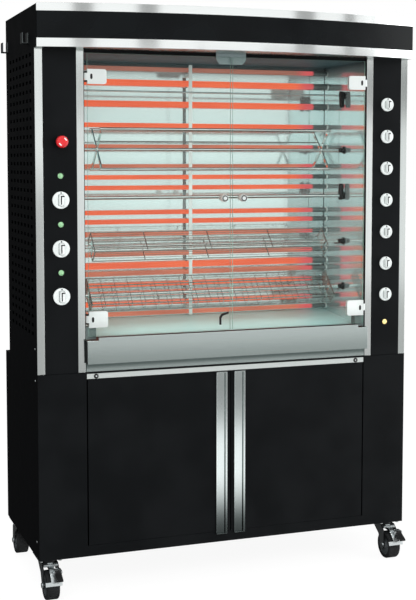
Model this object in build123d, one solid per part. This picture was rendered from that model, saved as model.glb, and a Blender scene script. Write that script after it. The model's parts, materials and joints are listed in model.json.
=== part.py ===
from build123d import *
import math
import os

os.makedirs("parts", exist_ok=True)

# Driving dimensions, in millimetres.
# X runs across the front from left to right, Z runs up from the floor. While a piece is drawn,
# Y is its depth behind the front plane of the posts. Saving moves every piece so that the
# origin lies on the floor under the middle of the whole object.
width = 1375
upper_depth = 502
base_depth = 576
base_bottom = 140
base_top = 774
canopy_bottom = 1853
canopy_top = 1995
sheet = 2
trim_thickness = 3
opening_half = 521
post_inner = 523.5
strip_width = 24.5
spit_heights = (1728, 1525, 1355, 1184, 1014)
spit_depth = 175
caster_side = 645
caster_front_depth = 65
caster_back_depth = 506
caster_trail = 42
wheel_radius = 50

# The canopy's front is bowed: it stands further forward in the middle than at its ends.
canopy_reach = 123
canopy_bow = 85

# Sizes that follow from those above.
half = width / 2
inner_strip_edge = post_inner + strip_width
outer_strip_edge = half - strip_width - 1
skin = half - sheet
upper_back = upper_depth - sheet
rear_reach = caster_back_depth + caster_trail + wheel_radius
front_plane = -(rear_reach - canopy_reach) / 2
bow_radius = (half**2 + canopy_bow**2) / (2 * canopy_bow)
bow_centre = bow_radius - canopy_reach


# Helpers

def block(x0, x1, y0, y1, z0, z1):
    """A plain box between two corners."""
    corner = (Align.MIN, Align.MIN, Align.MIN)
    return Pos(x0, y0, z0) * Box(x1 - x0, y1 - y0, z1 - z0, align=corner)


def rod(radius, start, end):
    """A round bar from one point to another."""
    run = Vector(*end) - Vector(*start)
    base = (Align.CENTER, Align.CENTER, Align.MIN)
    return Plane(origin=start, z_dir=run) * Cylinder(radius, run.length, align=base)


def ring(outer, inner, start, end):
    """A round tube from one point to another."""
    return rod(outer, start, end) - rod(inner, start, end)


def along_x(radius, x0, x1, y, z):
    """A round bar lying across the machine."""
    return rod(radius, (x0, y, z), (x1, y, z))


def along_y(radius, y0, y1, x, z):
    """A round bar running from front to back."""
    return rod(radius, (x, y0, z), (x, y1, z))


def along_z(radius, z0, z1, x, y):
    """An upright round bar."""
    return rod(radius, (x, y, z0), (x, y, z1))


def both_sides(shapes):
    """The shapes together with their mirror images on the other side of the machine."""
    return list(shapes) + [mirror(shape, about=Plane.YZ) for shape in shapes]


def prism_x(points, x0, x1):
    """A flat shape given by its depth and height points, carried from x0 to x1."""
    face = make_face(Polyline(*[(x0, y, z) for y, z in points], close=True))
    return extrude(face, x1 - x0, dir=(1, 0, 0))


def prism_y(points, y0, y1):
    """A flat shape given by its side and height points, carried from y0 to y1."""
    face = make_face(Polyline(*[(x, y0, z) for x, z in points], close=True))
    return extrude(face, y1 - y0, dir=(0, 1, 0))


def save(node, shapes):
    """Write one sub-part, moved so that the origin lies under the middle of the object."""
    solids = [solid for shape in shapes for solid in shape.solids()]
    moved = [Pos(0, front_plane, 0) * solid for solid in solids]
    export_step(Compound(children=moved), f"parts/{node}.step")


# Screws and the holes that they sit in

def domed_screw(radius, dome, shank_radius, shank, place, outward):
    """A domed head standing on a face, with its shank going in behind it."""
    shank_side = Polyline(
        (0, 0, dome), (0, 0, -shank), (shank_radius, 0, -shank), (shank_radius, 0, 0), (radius, 0, 0))
    head = TangentArc((0, 0, dome), (radius, 0, 0), tangent=(1, 0, 0))
    profile = make_face(shank_side + head)
    return Plane(origin=place, z_dir=outward) * revolve(profile, Axis.Z)


strip_screw_side = 487
strip_screw_height = 759.5
side_screw_heights = (198, 749, 856)
side_screw_depth = 38
rear_screw_heights = (860, 1320, 1780)
rear_screw_side = 640
strip_shank = 3
small_shank = 1.9
strip_head = (7.5, 3, strip_shank, 9)
small_head = (4, 1.8, small_shank, 6)

screws = [domed_screw(*strip_head, (strip_screw_side, 0, strip_screw_height), (0, -1, 0))]
for z in side_screw_heights:
    screws.append(domed_screw(*small_head, (half, side_screw_depth, z), (1, 0, 0)))
for z in rear_screw_heights:
    screws.append(domed_screw(*small_head, (rear_screw_side, upper_depth, z), (0, 1, 0)))
save("panel_screws", both_sides(screws))

strip_holes = both_sides([along_y(strip_shank, -1, 10, strip_screw_side, strip_screw_height)])
side_holes = [along_x(small_shank, skin - 1, half + 1, side_screw_depth, z) for z in side_screw_heights]
rear_holes = both_sides([
    along_y(small_shank, upper_back - 1, upper_depth + 1, rear_screw_side, z) for z in rear_screw_heights
])


# Base cabinet

door_opening_top = 750
door_opening_bottom = 177
pillar_inner = 520.5
deck_front = 5

base_inner_back = base_depth - sheet
floor_pan = block(-skin, skin, sheet, base_inner_back, base_bottom, base_bottom + sheet)
kick_rail = block(-pillar_inner, pillar_inner, 0, sheet, base_bottom, door_opening_bottom)
kick_depth = 20
kick_return = block(
    -pillar_inner, pillar_inner, sheet, kick_depth, door_opening_bottom - sheet, door_opening_bottom)
save("base_floor", [floor_pan, kick_rail, kick_return])

base_side = block(skin, half, 0, base_depth, base_bottom, base_top) - side_holes
pillar_front = block(pillar_inner, skin, 0, sheet, base_bottom, base_top - sheet)
pillar_depth = 40
pillar_return = block(
    pillar_inner, pillar_inner + sheet, sheet, pillar_depth, base_bottom + sheet, base_top - sheet)
save("base_sides", both_sides([base_side, pillar_front, pillar_return]))

back_sheet = block(-skin, skin, base_inner_back, base_depth, base_bottom, base_top - sheet)
deck = block(-skin, skin, trim_thickness, base_depth, base_top - sheet, base_top)
fold_bottom = 751
deck_fold = block(-pillar_inner, pillar_inner, trim_thickness, deck_front, fold_bottom, base_top - sheet)
save("base_back_panel", [back_sheet, deck, deck_fold - strip_holes])

strip_half = 519
strip_bottom = 751
strip_top = 768
strip = block(-strip_half, strip_half, 0, trim_thickness, strip_bottom, strip_top)
save("front_strip", [strip - strip_holes])


# Upper cabinet: side panels with their grids of vent slots, posts and control panels

vent_long = 30
vent_tall = 12
vent_pitch_y = 58
vent_pitch_z = 30
vent_columns = 7
vent_rows = 32
vent_centre = (245, 1370)

panel_centre = ((upper_back + trim_thickness) / 2, (base_top + canopy_bottom) / 2)
panel_size = (upper_back - trim_thickness, canopy_bottom - base_top)
vent_shift = (vent_centre[0] - panel_centre[0], vent_centre[1] - panel_centre[1])
vent_grid = GridLocations(vent_pitch_y, vent_pitch_z, vent_columns, vent_rows)
vented = Rectangle(*panel_size) - Pos(*vent_shift) * vent_grid * Rectangle(vent_long, vent_tall)
side_face = Plane(origin=(skin, *panel_centre), x_dir=(0, 1, 0), z_dir=(1, 0, 0)) * vented
side_sheet = extrude(side_face, sheet) - side_holes
outer_flange = block(outer_strip_edge, skin, trim_thickness, deck_front, base_top, canopy_bottom)
save("side_panels", both_sides([side_sheet, outer_flange]))

switch_side = 604.25
right_knob_heights = (1688, 1573, 1458, 1343, 1227, 1112, 998)
left_knob_heights = (1355, 1193.5, 1034.5)
green_lamp_heights = (1435, 1274, 1113.5)
amber_lamp_height = 896
stop_button_height = 1547
panel_face = 1
panel_back = panel_face + sheet
fold_depth = 22

control_sheet = block(inner_strip_edge, outer_strip_edge, panel_face, panel_back, base_top, canopy_bottom)
inner_fold = block(
    inner_strip_edge, inner_strip_edge + sheet, panel_back, fold_depth, base_top, canopy_bottom)
outer_fold = block(
    outer_strip_edge - sheet, outer_strip_edge, panel_back, fold_depth, base_top, canopy_bottom)


def panel_holes(side, heights, radius):
    """Round holes through a control panel at the given heights."""
    return [along_y(radius, 0, panel_back + 1, side, z) for z in heights]


shaft_hole = 5
lamp_hole = 8
stop_hole = 11
right_holes = panel_holes(switch_side, right_knob_heights, shaft_hole)
right_holes += panel_holes(switch_side, [amber_lamp_height], lamp_hole)
left_holes = panel_holes(-switch_side, left_knob_heights, shaft_hole)
left_holes += panel_holes(-switch_side, green_lamp_heights, lamp_hole)
left_holes += panel_holes(-switch_side, [stop_button_height], stop_hole)
right_sheet = control_sheet - right_holes
left_sheet = mirror(control_sheet, about=Plane.YZ) - left_holes
save("control_panels", [right_sheet, left_sheet] + both_sides([inner_fold, outer_fold]))

inner_trim = block(post_inner, inner_strip_edge, 0, trim_thickness, base_top, canopy_bottom)
outer_trim = block(outer_strip_edge, half, 0, trim_thickness, base_top, canopy_bottom)
save("post_trims", both_sides([inner_trim, outer_trim]))

rear_sheet = block(-skin, skin, upper_back, upper_depth, base_top, canopy_bottom)
gland = (600, 840)
gland_thread = 9.9
gland_hole = along_y(gland_thread + 0.1, upper_back - 1, upper_depth + 1, *gland)
save("rear_panel", [rear_sheet - rear_holes - gland_hole])

gland_bore = 6.5
gland_cap = 12
gland_flats = 15
gland_hex_long = 8
gland_nut_long = 5
gland_out = upper_depth + 26
gland_in = upper_back - 14


def hexagon(y, direction, length):
    """A hexagonal length on the gland's axis, from one depth forwards or backwards."""
    place = Plane(origin=(gland[0], y, gland[1]), z_dir=(0, direction, 0))
    return extrude(place * RegularPolygon(gland_flats, 6), length)


gland_body = hexagon(upper_depth, 1, gland_hex_long)
gland_body += along_y(gland_cap, upper_depth + gland_hex_long, gland_out, *gland)
gland_body += along_y(gland_thread, gland_in, upper_depth, *gland)
gland_body -= along_y(gland_bore, gland_in, gland_out, *gland)
gland_nut = hexagon(upper_back, -1, gland_nut_long)
gland_nut -= along_y(gland_thread, upper_back - gland_nut_long - 1, upper_back, *gland)
save("cable_gland", [gland_body, gland_nut])


# Roasting cavity

ceiling = 1842
cavity_back = 352
floor_front = (8, 878)
floor_back = (350, 908)
liner_bottom = 900
header_face = 5
heating_depth = 330
heating_tubes = (
    (1819, 8), (1769, 11), (1692, 11), (1615, 8), (1537, 8), (1465, 8),
    (1425, 8), (1386.5, 8), (1296, 8), (1262, 8), (1217.5, 8), (1143, 8),
    (1101, 11), (1072, 8), (1029, 8), (996, 8), (960, 8), (923, 8),
)
bush_outer = 14
journal = 5
bush_bore = journal + 0.05
wall_bore = journal + 2
tube_gap = 0.25
tube_end = opening_half + 22

wall_outside = opening_half + sheet
liner_outside = cavity_back + sheet
liner_back = block(-opening_half, opening_half, cavity_back, liner_outside, liner_bottom, ceiling)
liner_top = block(-opening_half, opening_half, header_face, liner_outside, ceiling, ceiling + sheet)
header_back = header_face + sheet
header = block(-opening_half, opening_half, header_face, header_back, ceiling + sheet, canopy_bottom)
save("cavity_liner", [liner_back, liner_top, header])

wall_holes = [
    along_x(radius + tube_gap, opening_half - 1, wall_outside + 1, heating_depth, z)
    for z, radius in heating_tubes
]
wall_holes += [
    along_x(wall_bore, opening_half - 1, wall_outside + 1, spit_depth, z) for z in spit_heights
]
wall = block(opening_half, wall_outside, trim_thickness, liner_outside, base_top, canopy_bottom)
inner_flange = block(wall_outside, inner_strip_edge, trim_thickness, deck_front, base_top, canopy_bottom)
save("cavity_side_walls", both_sides([wall - wall_holes, inner_flange]))

floor_points = [floor_front, floor_back, (floor_back[0], floor_back[1] - sheet),
                (floor_front[0], floor_front[1] - sheet)]
save("cavity_floor", [prism_x(floor_points, -opening_half, opening_half)])

collar_wall = 3
stud_radius = 2.5
stud_long = 12
tubes = []
for z, radius in heating_tubes:
    tube = along_x(radius, -tube_end, tube_end, heating_depth, z)
    for side in (-1, 1):
        collar_inside = side * (opening_half - collar_wall)
        tube += along_x(radius + collar_wall, collar_inside, side * opening_half, heating_depth, z)
        tube += along_x(stud_radius, side * tube_end, side * (tube_end + stud_long), heating_depth, z)
    tubes.append(tube)
save("heating_tubes", tubes)

# The tubes' middle support is an upright strap in front of them, with a clip round each tube
# and three feet that reach back to the wall between tubes.
bracket_left = -47
bracket_right = -34
bracket_bottom = 912
bracket_top = 1837
bracket_back = heating_depth - 13
bracket_feet = (940, 1350, 1800)
foot_half = 6
clip_wall = 2
clip_inset = 2
bracket_front = bracket_back - sheet
clip_left = bracket_left + clip_inset
clip_right = bracket_right - clip_inset
strap = block(bracket_left, bracket_right, bracket_front, bracket_back, bracket_bottom, bracket_top)
for z in bracket_feet:
    strap += block(bracket_left, bracket_right, bracket_back, cavity_back, z - foot_half, z + foot_half)
for z, radius in heating_tubes:
    strap += along_x(radius + clip_wall, clip_left, clip_right, heating_depth, z)
    strap += block(clip_left, clip_right, bracket_back, heating_depth, z - radius, z + radius)
for z, radius in heating_tubes:
    strap -= along_x(radius + tube_gap, bracket_left - 1, bracket_right + 1, heating_depth, z)
save("element_supports", [strap])


# Canopy

lower_strip_top = 1881.5
upper_strip_bottom = 1968
lid_top = canopy_top - trim_thickness


def on_bow(x, inset):
    """The point of the bowed front at x, moved in by inset along the bow's radius."""
    return (x, bow_centre - math.sqrt((bow_radius - inset) ** 2 - x**2))


def bowed_plate(side, back, inset, z0, z1):
    """A level plate with straight back and ends and a bowed front."""
    left, middle, right = on_bow(-side, inset), on_bow(0, inset), on_bow(side, inset)
    front = ThreePointArc(left, middle, right)
    rest = Polyline(right, (side, back), (-side, back), left)
    return extrude(Pos(0, 0, z0) * make_face(front + rest), z1 - z0)


def bowed_strip(side, outer, inner, z0, z1):
    """An upright strip bent along the bow, between two insets."""
    front = ThreePointArc(on_bow(-side, outer), on_bow(0, outer), on_bow(side, outer))
    right = Line(on_bow(side, outer), on_bow(side, inner))
    behind = ThreePointArc(on_bow(side, inner), on_bow(0, inner), on_bow(-side, inner))
    left = Line(on_bow(-side, inner), on_bow(-side, outer))
    return extrude(Pos(0, 0, z0) * make_face(front + right + behind + left), z1 - z0)


canopy_inset = 2
lid = bowed_plate(skin, upper_back, canopy_inset + sheet, lid_top - sheet, lid_top)
canopy_side = block(skin, half, on_bow(half, canopy_inset)[1], upper_depth, canopy_bottom, lid_top)
canopy_back = block(-skin, skin, upper_back, upper_depth, canopy_bottom, lid_top)
canopy_front = bowed_strip(skin, canopy_inset, canopy_inset + sheet, canopy_bottom, lid_top)
soffit = bowed_plate(skin, header_face, canopy_inset + sheet, canopy_bottom, canopy_bottom + sheet)
save("canopy_shell", [lid, canopy_back, canopy_front, soffit] + both_sides([canopy_side]))

lower_strip = bowed_strip(half, 0, canopy_inset, canopy_bottom, lower_strip_top)
upper_strip = bowed_strip(half, 0, canopy_inset, upper_strip_bottom, canopy_top)
save("canopy_trims", [lower_strip, upper_strip])

hook_width = 35
hook_thickness = 3
hook_out = 21
hook_low = 1874
hook_high = 1910
hook_fronts = (90, 455)
hook_root = half + hook_thickness
hook_leg = half + hook_out - hook_thickness
hooks = []
for hook_front in hook_fronts:
    hook_back = hook_front + hook_width
    plate = block(half, hook_root, hook_front, hook_back, hook_low, hook_high)
    foot = block(hook_root, hook_leg, hook_front, hook_back, hook_low, hook_low + hook_thickness)
    leg = block(hook_leg, half + hook_out, hook_front, hook_back, hook_low, hook_high)
    hooks.append(plate + foot + leg)
save("side_hooks", both_sides(hooks))


# Door stops: the catch plate above the doors and a block low on each post

catch_half = 55
catch_low = 1816
catch_cut = (13, 16)
catch_points = [
    (-catch_half, canopy_bottom), (-catch_half, catch_low + catch_cut[1]),
    (catch_cut[0] - catch_half, catch_low), (catch_half - catch_cut[0], catch_low),
    (catch_half, catch_low + catch_cut[1]), (catch_half, canopy_bottom),
]
stop_inner = 485
stop_front = 4
stop_back = 34
stop_low = 884
stop_high = 928
stop_block = block(stop_inner, opening_half, stop_front, stop_back, stop_low, stop_high)
save("door_stops", [prism_y(catch_points, sheet, header_face)] + both_sides([stop_block]))


# Switches, lamps, motors and bearings behind the panels

knob_shaft = 3
switch_bore = knob_shaft + 0.05
switch_half = 21
switch_back = 48
switch_bore_end = 30


def switch_body(side, z):
    """A rotary switch: a square body behind the panel with a threaded neck and a bore."""
    left, right = side - switch_half, side + switch_half
    body = block(left, right, panel_back, switch_back, z - switch_half, z + switch_half)
    neck = along_y(shaft_hole, panel_face - 1, panel_back, side, z)
    return body + neck - along_y(switch_bore, panel_face - 1, switch_bore_end, side, z)


stop_bore = 6
stop_guide = stop_bore + 0.06
stop_collar = 14
stop_collar_face = -13
stop_contacts = 20
stop_contacts_back = 55
stop_guide_end = 40
stop_place = (-switch_side, stop_button_height)
stop_body = block(
    -switch_side - stop_contacts, -switch_side + stop_contacts, panel_back, stop_contacts_back,
    stop_button_height - stop_contacts, stop_button_height + stop_contacts)
stop_body += along_y(stop_hole, panel_face - 1, panel_back, *stop_place)
stop_body += along_y(stop_collar, stop_collar_face, panel_face, *stop_place)
stop_body -= along_y(stop_guide, stop_collar_face - 1, stop_guide_end, *stop_place)
switches = [switch_body(switch_side, z) for z in right_knob_heights]
switches += [switch_body(-switch_side, z) for z in left_knob_heights]
save("switch_bodies", switches + [stop_body])


lamp_collar = 11
lamp_collar_face = -1
lamp_dome = 9
lamp_face = -7
lamp_back = 32


def lamp(side, z):
    """A signal lamp: a domed lens on a collar, with its holder behind the panel."""
    collar = along_y(lamp_collar, lamp_collar_face, panel_face, side, z)
    dome = Pos(side, lamp_collar_face, z) * Sphere(lamp_dome)
    dome &= along_y(lamp_collar, lamp_face, lamp_collar_face, side, z)
    return collar + dome + along_y(lamp_hole, panel_face, lamp_back, side, z)


lamps = [lamp(switch_side, amber_lamp_height)]
lamps += [lamp(-switch_side, z) for z in green_lamp_heights]
save("signal_lamps", lamps)

gearbox_half = 36
gearbox_end = wall_outside + 26
motor_radius = 28
motor_end = wall_outside + 86
socket_end = wall_outside + 22
bush_long = 4
motor_bodies = []
bushes = []
for z in spit_heights:
    gearbox = block(wall_outside, gearbox_end, spit_depth - gearbox_half, spit_depth + gearbox_half,
                    z - gearbox_half, z + gearbox_half)
    can = along_x(motor_radius, gearbox_end, motor_end, spit_depth, z)
    socket = along_x(bush_bore, wall_outside, socket_end, spit_depth, z)
    motor_bodies.append(gearbox + can - socket)
    bush = along_x(bush_outer, opening_half - bush_long, opening_half, spit_depth, z)
    bush += along_x(wall_bore, opening_half, wall_outside, spit_depth, z)
    bushes.append(bush - along_x(bush_bore, opening_half - bush_long, wall_outside, spit_depth, z))
save("spit_motors", motor_bodies)
save("spit_bearings", both_sides(bushes))


# Glass doors, each with patch fittings clamped on both faces of the pane

glass = 6
glass_inner = 4
glass_outer = 512.5
glass_bottom = 896
glass_top = 1841
pivot_side = 517
pivot_depth = -glass / 2
pintle = 2
pintle_bore = pintle + 0.06
knuckle = 4.2
knuckle_half = 12
lug_gap = 0.5
lug_high = 5
lug_back = 28
plate_thickness = 3
plate_inner = 447
plate_corner = 8
top_plate = (1739, 1788, 1763)
bottom_plate = (925, 980, 954)
door_knob = (35, 1356)
door_knob_radius = 12.5
door_knob_long = 18
door_knob_neck = 7
door_nut_radius = 9
door_nut_long = 4


def patch_fitting(low, high, knuckle_z):
    """Two clamping plates, one on each face of the glass, and the knuckle that joins them."""
    plate = block(plate_inner, glass_outer, -plate_thickness, 0, low, high)
    plate = fillet(plate.edges().filter_by(Axis.Y).group_by(Axis.X)[0], plate_corner)
    front = Pos(0, -glass, 0) * plate
    back = Pos(0, plate_thickness, 0) * plate
    z0, z1 = knuckle_z - knuckle_half, knuckle_z + knuckle_half
    barrel = along_z(knuckle, z0, z1, pivot_side, pivot_depth)
    arm = block(glass_outer, pivot_side, -glass - plate_thickness, -glass, z0, z1)
    arm += block(glass_outer, pivot_side, -glass, pivot_depth, z0, z1)
    fitting = front + arm + barrel
    return [fitting - along_z(pintle_bore, z0, z1, pivot_side, pivot_depth), back]


def fixed_lugs(knuckle_z):
    """The post's two lugs, above and below a knuckle, with the pintle through them."""
    reach = knuckle_half + lug_gap + lug_high + lug_gap
    hinge = along_z(pintle, knuckle_z - reach, knuckle_z + reach, pivot_side, pivot_depth)
    for low in (knuckle_z + knuckle_half + lug_gap, knuckle_z - knuckle_half - lug_gap - lug_high):
        hinge += along_z(knuckle, low, low + lug_high, pivot_side, pivot_depth)
        hinge += block(pivot_side, pivot_side + 4, pivot_depth, lug_back, low, low + lug_high)
    return hinge


pane = block(glass_inner, glass_outer, -glass, 0, glass_bottom, glass_top)
fittings = patch_fitting(*top_plate) + patch_fitting(*bottom_plate)
neck_front = -glass - 12
knob_outer = along_y(door_knob_radius, neck_front - door_knob_long, neck_front, *door_knob)
knob_outer = fillet(knob_outer.edges(), 3)
knob_outer += along_y(door_knob_neck, neck_front, -glass, *door_knob)
knob_inner = along_y(door_nut_radius, 0, door_nut_long, *door_knob)
fittings += [knob_outer, knob_inner]

# A bent strip on the left door, hanging down from the glass's edge near the middle
hook_depth = 4
hook_points = [
    (-12, 960), (-12, 953), (-34, 946), (-39, 938), (-39, 915), (-46, 915), (-46, 942), (-38, 953),
]
door_hook = prism_y(hook_points, -glass - hook_depth, -glass)
save("right_glass", [pane])
save("left_glass", [mirror(pane, about=Plane.YZ)])
save("right_door_fittings", fittings)
save("left_door_fittings", [mirror(piece, about=Plane.YZ) for piece in fittings] + [door_hook])


# Base doors: folded pans with an extruded handle, turning on pins top and bottom

base_door_inner = 2
base_door_outer = 516
base_door_bottom = 178
base_door_top = 748
base_door_depth = 18
base_pivot = (506.5, 9)
base_pin = 3
base_pin_bore = base_pin + 0.06

door_face = block(base_door_inner, base_door_outer, 0, sheet, base_door_bottom, base_door_top)
door_stiles = [
    block(x, x + sheet, sheet, base_door_depth, base_door_bottom, base_door_top)
    for x in (base_door_inner, base_door_outer - sheet)
]
door_ends = [
    block(base_door_inner + sheet, base_door_outer - sheet, sheet, base_door_depth, z, z + sheet)
    for z in (base_door_bottom, base_door_top - sheet)
]
pin_bore = along_z(base_pin_bore, base_door_bottom - 1, base_door_top + 1, *base_pivot)
base_door = [door_face] + door_stiles + [end - pin_bore for end in door_ends]
save("right_base_door", base_door)
save("left_base_door", [mirror(piece, about=Plane.YZ) for piece in base_door])

handle_width = 39
right_door_handle_left = 12
left_door_handle_left = -55.5
handle_low = 172
handle_high = 745
handle_deep = 10
handle_wall = 2.5
lip_width = 6.5
upstand = 5
cap_deep = 9
cap_high = 3


def pull_handle(left):
    """An extruded pull: a web on the door, a small upstand and a J-shaped finger lip."""
    right = left + handle_width
    lip_inside = right - lip_width + handle_wall
    points = [
        (left, 0), (left, -upstand), (left + handle_wall, -upstand), (left + handle_wall, -handle_wall),
        (right - handle_wall, -handle_wall), (right - handle_wall, handle_wall - handle_deep),
        (lip_inside, handle_wall - handle_deep), (lip_inside, -lip_width), (right - lip_width, -lip_width),
        (right - lip_width, -handle_deep), (right, -handle_deep), (right, 0),
    ]
    profile = make_face(Polyline(*[(x, y, handle_low) for x, y in points], close=True))
    bar = extrude(profile, handle_high - handle_low)
    caps = [block(left, right, -cap_deep, 0, z, z + cap_high) for z in (handle_low - cap_high, handle_high)]
    return [bar] + caps


save("right_door_handle", pull_handle(right_door_handle_left))
save("left_door_handle", pull_handle(left_door_handle_left))

pin_reach = 11
top_bracket = block(498, pillar_inner, deck_front, 20, door_opening_top, door_opening_top + 5)
top_pin = along_z(base_pin, door_opening_top - pin_reach, door_opening_top, *base_pivot)
foot_pin = along_z(base_pin, door_opening_bottom, door_opening_bottom + pin_reach, *base_pivot)
hinge_hardware = [foot_pin, top_bracket + top_pin, fixed_lugs(top_plate[2]), fixed_lugs(bottom_plate[2])]
save("hinge_pins", both_sides(hinge_hardware))


# Drip tray: a drawer on the deck, under the cavity floor

fascia_half = 522
fascia_face = -26
fascia_low = 804
fascia_high = 893
notch_wide = 38
notch_high = 10
pan_half = 505
pan_back = 480
pan_low = base_top + 1
pan_high = 868

fascia_back = fascia_face + sheet
notch_inner = fascia_half - notch_wide
notch_low = fascia_high - notch_high
fascia = block(-fascia_half, fascia_half, fascia_face, fascia_back, fascia_low, fascia_high)
top_fold = block(-notch_inner, notch_inner, fascia_back, 0, fascia_high - sheet, fascia_high)
low_fold = block(-fascia_half, fascia_half, fascia_back, 0, fascia_low, fascia_low + sheet)
end_fold = block(fascia_half - sheet, fascia_half, fascia_back, 0, fascia_low + sheet, notch_low)
fascia -= both_sides([block(notch_inner, fascia_half + 1, fascia_face - 1, 1, notch_low, fascia_high + 1)])
pan_front = block(-fascia_half + 1, fascia_half - 1, 0, sheet, pan_low, pan_high)
pan_floor = block(-pan_half, pan_half, sheet, pan_back, pan_low, pan_low + sheet)
pan_side = block(pan_half - sheet, pan_half, sheet, pan_back, pan_low + sheet, pan_high)
pan_inner = pan_half - sheet
pan_rear = block(-pan_inner, pan_inner, pan_back - sheet, pan_back, pan_low + sheet, pan_high)
drawer = [fascia, top_fold, low_fold, pan_front, pan_floor, pan_rear]
save("drip_tray", drawer + both_sides([end_fold, pan_side]))


# Spits, drawn lying along X on their axis and lifted into place

journal_left = -opening_half - 1
journal_right = opening_half + sheet + 20
shaft_left = -505
shaft_right = 516
lever_face = 501
lever_long = 45
lever_short = 16
lever_wide = 18
lever_thick = 15


def on_axis(radius, x0, x1):
    """A round length of a spit, on its axis."""
    return along_x(radius, x0, x1, 0, 0)


journals = on_axis(journal, journal_left, shaft_left) + on_axis(journal, lever_face, journal_right)


def spit_shaft(radius):
    """A shaft with a journal at each end, long enough to reach into the drive socket."""
    return on_axis(radius, shaft_left, lever_face) + journals


def across_spit(x, face, thickness):
    """A flat shape set square across a spit at x, carried along it by its thickness."""
    return extrude(Plane(origin=(x, 0, 0), x_dir=(0, 1, 0), z_dir=(1, 0, 0)) * face, thickness)


def spit_lever(angle):
    """The moulded lever that turns and lifts a spit by hand, at its angle about the shaft."""
    outline = Pos((lever_long - lever_short) / 2, 0) * SlotOverall(lever_long + lever_short, lever_wide)
    plate = across_spit(lever_face, outline, lever_thick)
    return Rot(angle, 0, 0) * (plate - on_axis(journal, lever_face - 1, shaft_right + 1))


def at_height(shapes, z):
    """The shapes lifted onto a spit's axis."""
    return [Pos(0, spit_depth, z) * shape for shape in shapes]


def net(size_x, size_y, thickness, wire, cells_x, cells_y):
    """A flat net of crossing wires, drawn as one holed sheet."""
    gap_x = (size_x - wire) / cells_x - wire
    gap_y = (size_y - wire) / cells_y - wire
    holes = GridLocations(gap_x + wire, gap_y + wire, cells_x, cells_y) * Rectangle(gap_x, gap_y)
    return extrude(Rectangle(size_x, size_y) - holes, thickness)


save("spit_1_rod", at_height([spit_shaft(3), spit_lever(-95)], spit_heights[0]))

cradle_left = -437
cradle_right = 421
cradle_radius = 98
cradle_bar = 5.5
cradle_shaft = 5.5
cross_arm = (2 * (cradle_radius - cradle_bar) - 0.2, 12)
cross_thick = 4
cradle = [spit_shaft(cradle_shaft), spit_lever(0)]
for x in (cradle_left, cradle_right):
    arm = across_spit(x, Rectangle(*cross_arm), cross_thick)
    cross = Rot(45, 0, 0) * arm + Rot(-45, 0, 0) * arm
    cradle.append(cross - on_axis(cradle_shaft, x - 1, x + cross_thick + 1))
for turn in (45, 135, 225, 315):
    y = cradle_radius * math.cos(math.radians(turn))
    z = cradle_radius * math.sin(math.radians(turn))
    cradle.append(along_x(cradle_bar, cradle_left - 6, cradle_right + 10, y, z))
save("spit_2_cradle", at_height(cradle, spit_heights[1]))

spear_radius = 6.5
taper_start = -470
taper = Cone(spear_radius, journal, taper_start - shaft_left, align=(Align.CENTER, Align.CENTER, Align.MIN))
spear = on_axis(spear_radius, taper_start, lever_face) + journals
spear += Plane(origin=(taper_start, 0, 0), z_dir=(-1, 0, 0)) * taper
save("spit_3_spear", at_height([spear, spit_lever(92)], spit_heights[2]))

# Both baskets are tilted, with their back edge up. The mesh basket's back edge is its mouth.
basket_tilt = 46
flat_columns = (-457, -263, -24, 213, 437)
flat_width = 91
flat_gap = 53
flat_wire = 3
flat_rows = 8
row_gap = (flat_width - flat_wire) / flat_rows - flat_wire
layer_face = Rectangle(flat_columns[-1] - flat_columns[0], flat_width)
layer_face = Pos((flat_columns[0] + flat_columns[-1]) / 2, 0) * layer_face
for left, right in zip(flat_columns, flat_columns[1:]):
    column = Pos((left + right) / 2, 0) * GridLocations(1, row_gap + flat_wire, 1, flat_rows)
    layer_face -= column * Rectangle(right - left - 2 * flat_wire, row_gap)
layer = extrude(layer_face, flat_wire)
layers = [Pos(0, 0, flat_gap / 2 - flat_wire) * layer, Pos(0, 0, -flat_gap / 2) * layer]
end_thick = 4
flat_end = Rectangle(30, flat_gap - 2 * flat_wire) - Circle(cradle_shaft)
end_plates = [across_spit(x, flat_end, end_thick) for x in (flat_columns[0], flat_columns[-1] - end_thick)]
flat_basket = [Rot(basket_tilt, 0, 0) * piece for piece in layers + end_plates]
flat_basket += [spit_shaft(cradle_shaft), spit_lever(-8)]
save("spit_4_flat_basket", at_height(flat_basket, spit_heights[3]))

mesh_middle = -5
mesh_long = 930
mesh_width = 120
mesh_height = 44
mesh_wire = 2.5
central_tube = 7
boss_radius = 13
broad = net(mesh_long, mesh_width, mesh_wire, mesh_wire, 19, 10)
narrow = net(mesh_long, mesh_height - 2 * mesh_wire, mesh_wire, mesh_wire, 19, 4)
mesh_sides = [
    Pos(mesh_middle, 0, mesh_height / 2 - mesh_wire) * broad,
    Pos(mesh_middle, 0, -mesh_height / 2) * broad,
    Pos(mesh_middle, mesh_wire - mesh_width / 2, 0) * Rot(90, 0, 0) * narrow,
]
end_wide = mesh_width - 2 * mesh_wire
end_tall = mesh_height - 2 * mesh_wire
end_columns = 10
end_rows = 4
end_gap_y = (end_wide - mesh_wire) / end_columns - mesh_wire
end_gap_z = (end_tall - mesh_wire) / end_rows - mesh_wire
end_cells = GridLocations(end_gap_y + mesh_wire, end_gap_z + mesh_wire, end_columns, end_rows)
mesh_end = Rectangle(end_wide, end_tall) - end_cells * Rectangle(end_gap_y, end_gap_z)
mesh_end = mesh_end + Circle(boss_radius) - Circle(central_tube)
mesh_left = mesh_middle - mesh_long / 2
mesh_right = mesh_middle + mesh_long / 2
end_nets = [across_spit(x, mesh_end, mesh_wire) for x in (mesh_left, mesh_right - mesh_wire)]
mesh_basket = [Rot(basket_tilt, 0, 0) * piece for piece in mesh_sides + end_nets]
mesh_basket += [spit_shaft(central_tube), spit_lever(-8)]
save("spit_5_mesh_basket", at_height(mesh_basket, spit_heights[4]))


# Knobs and the emergency stop

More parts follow.
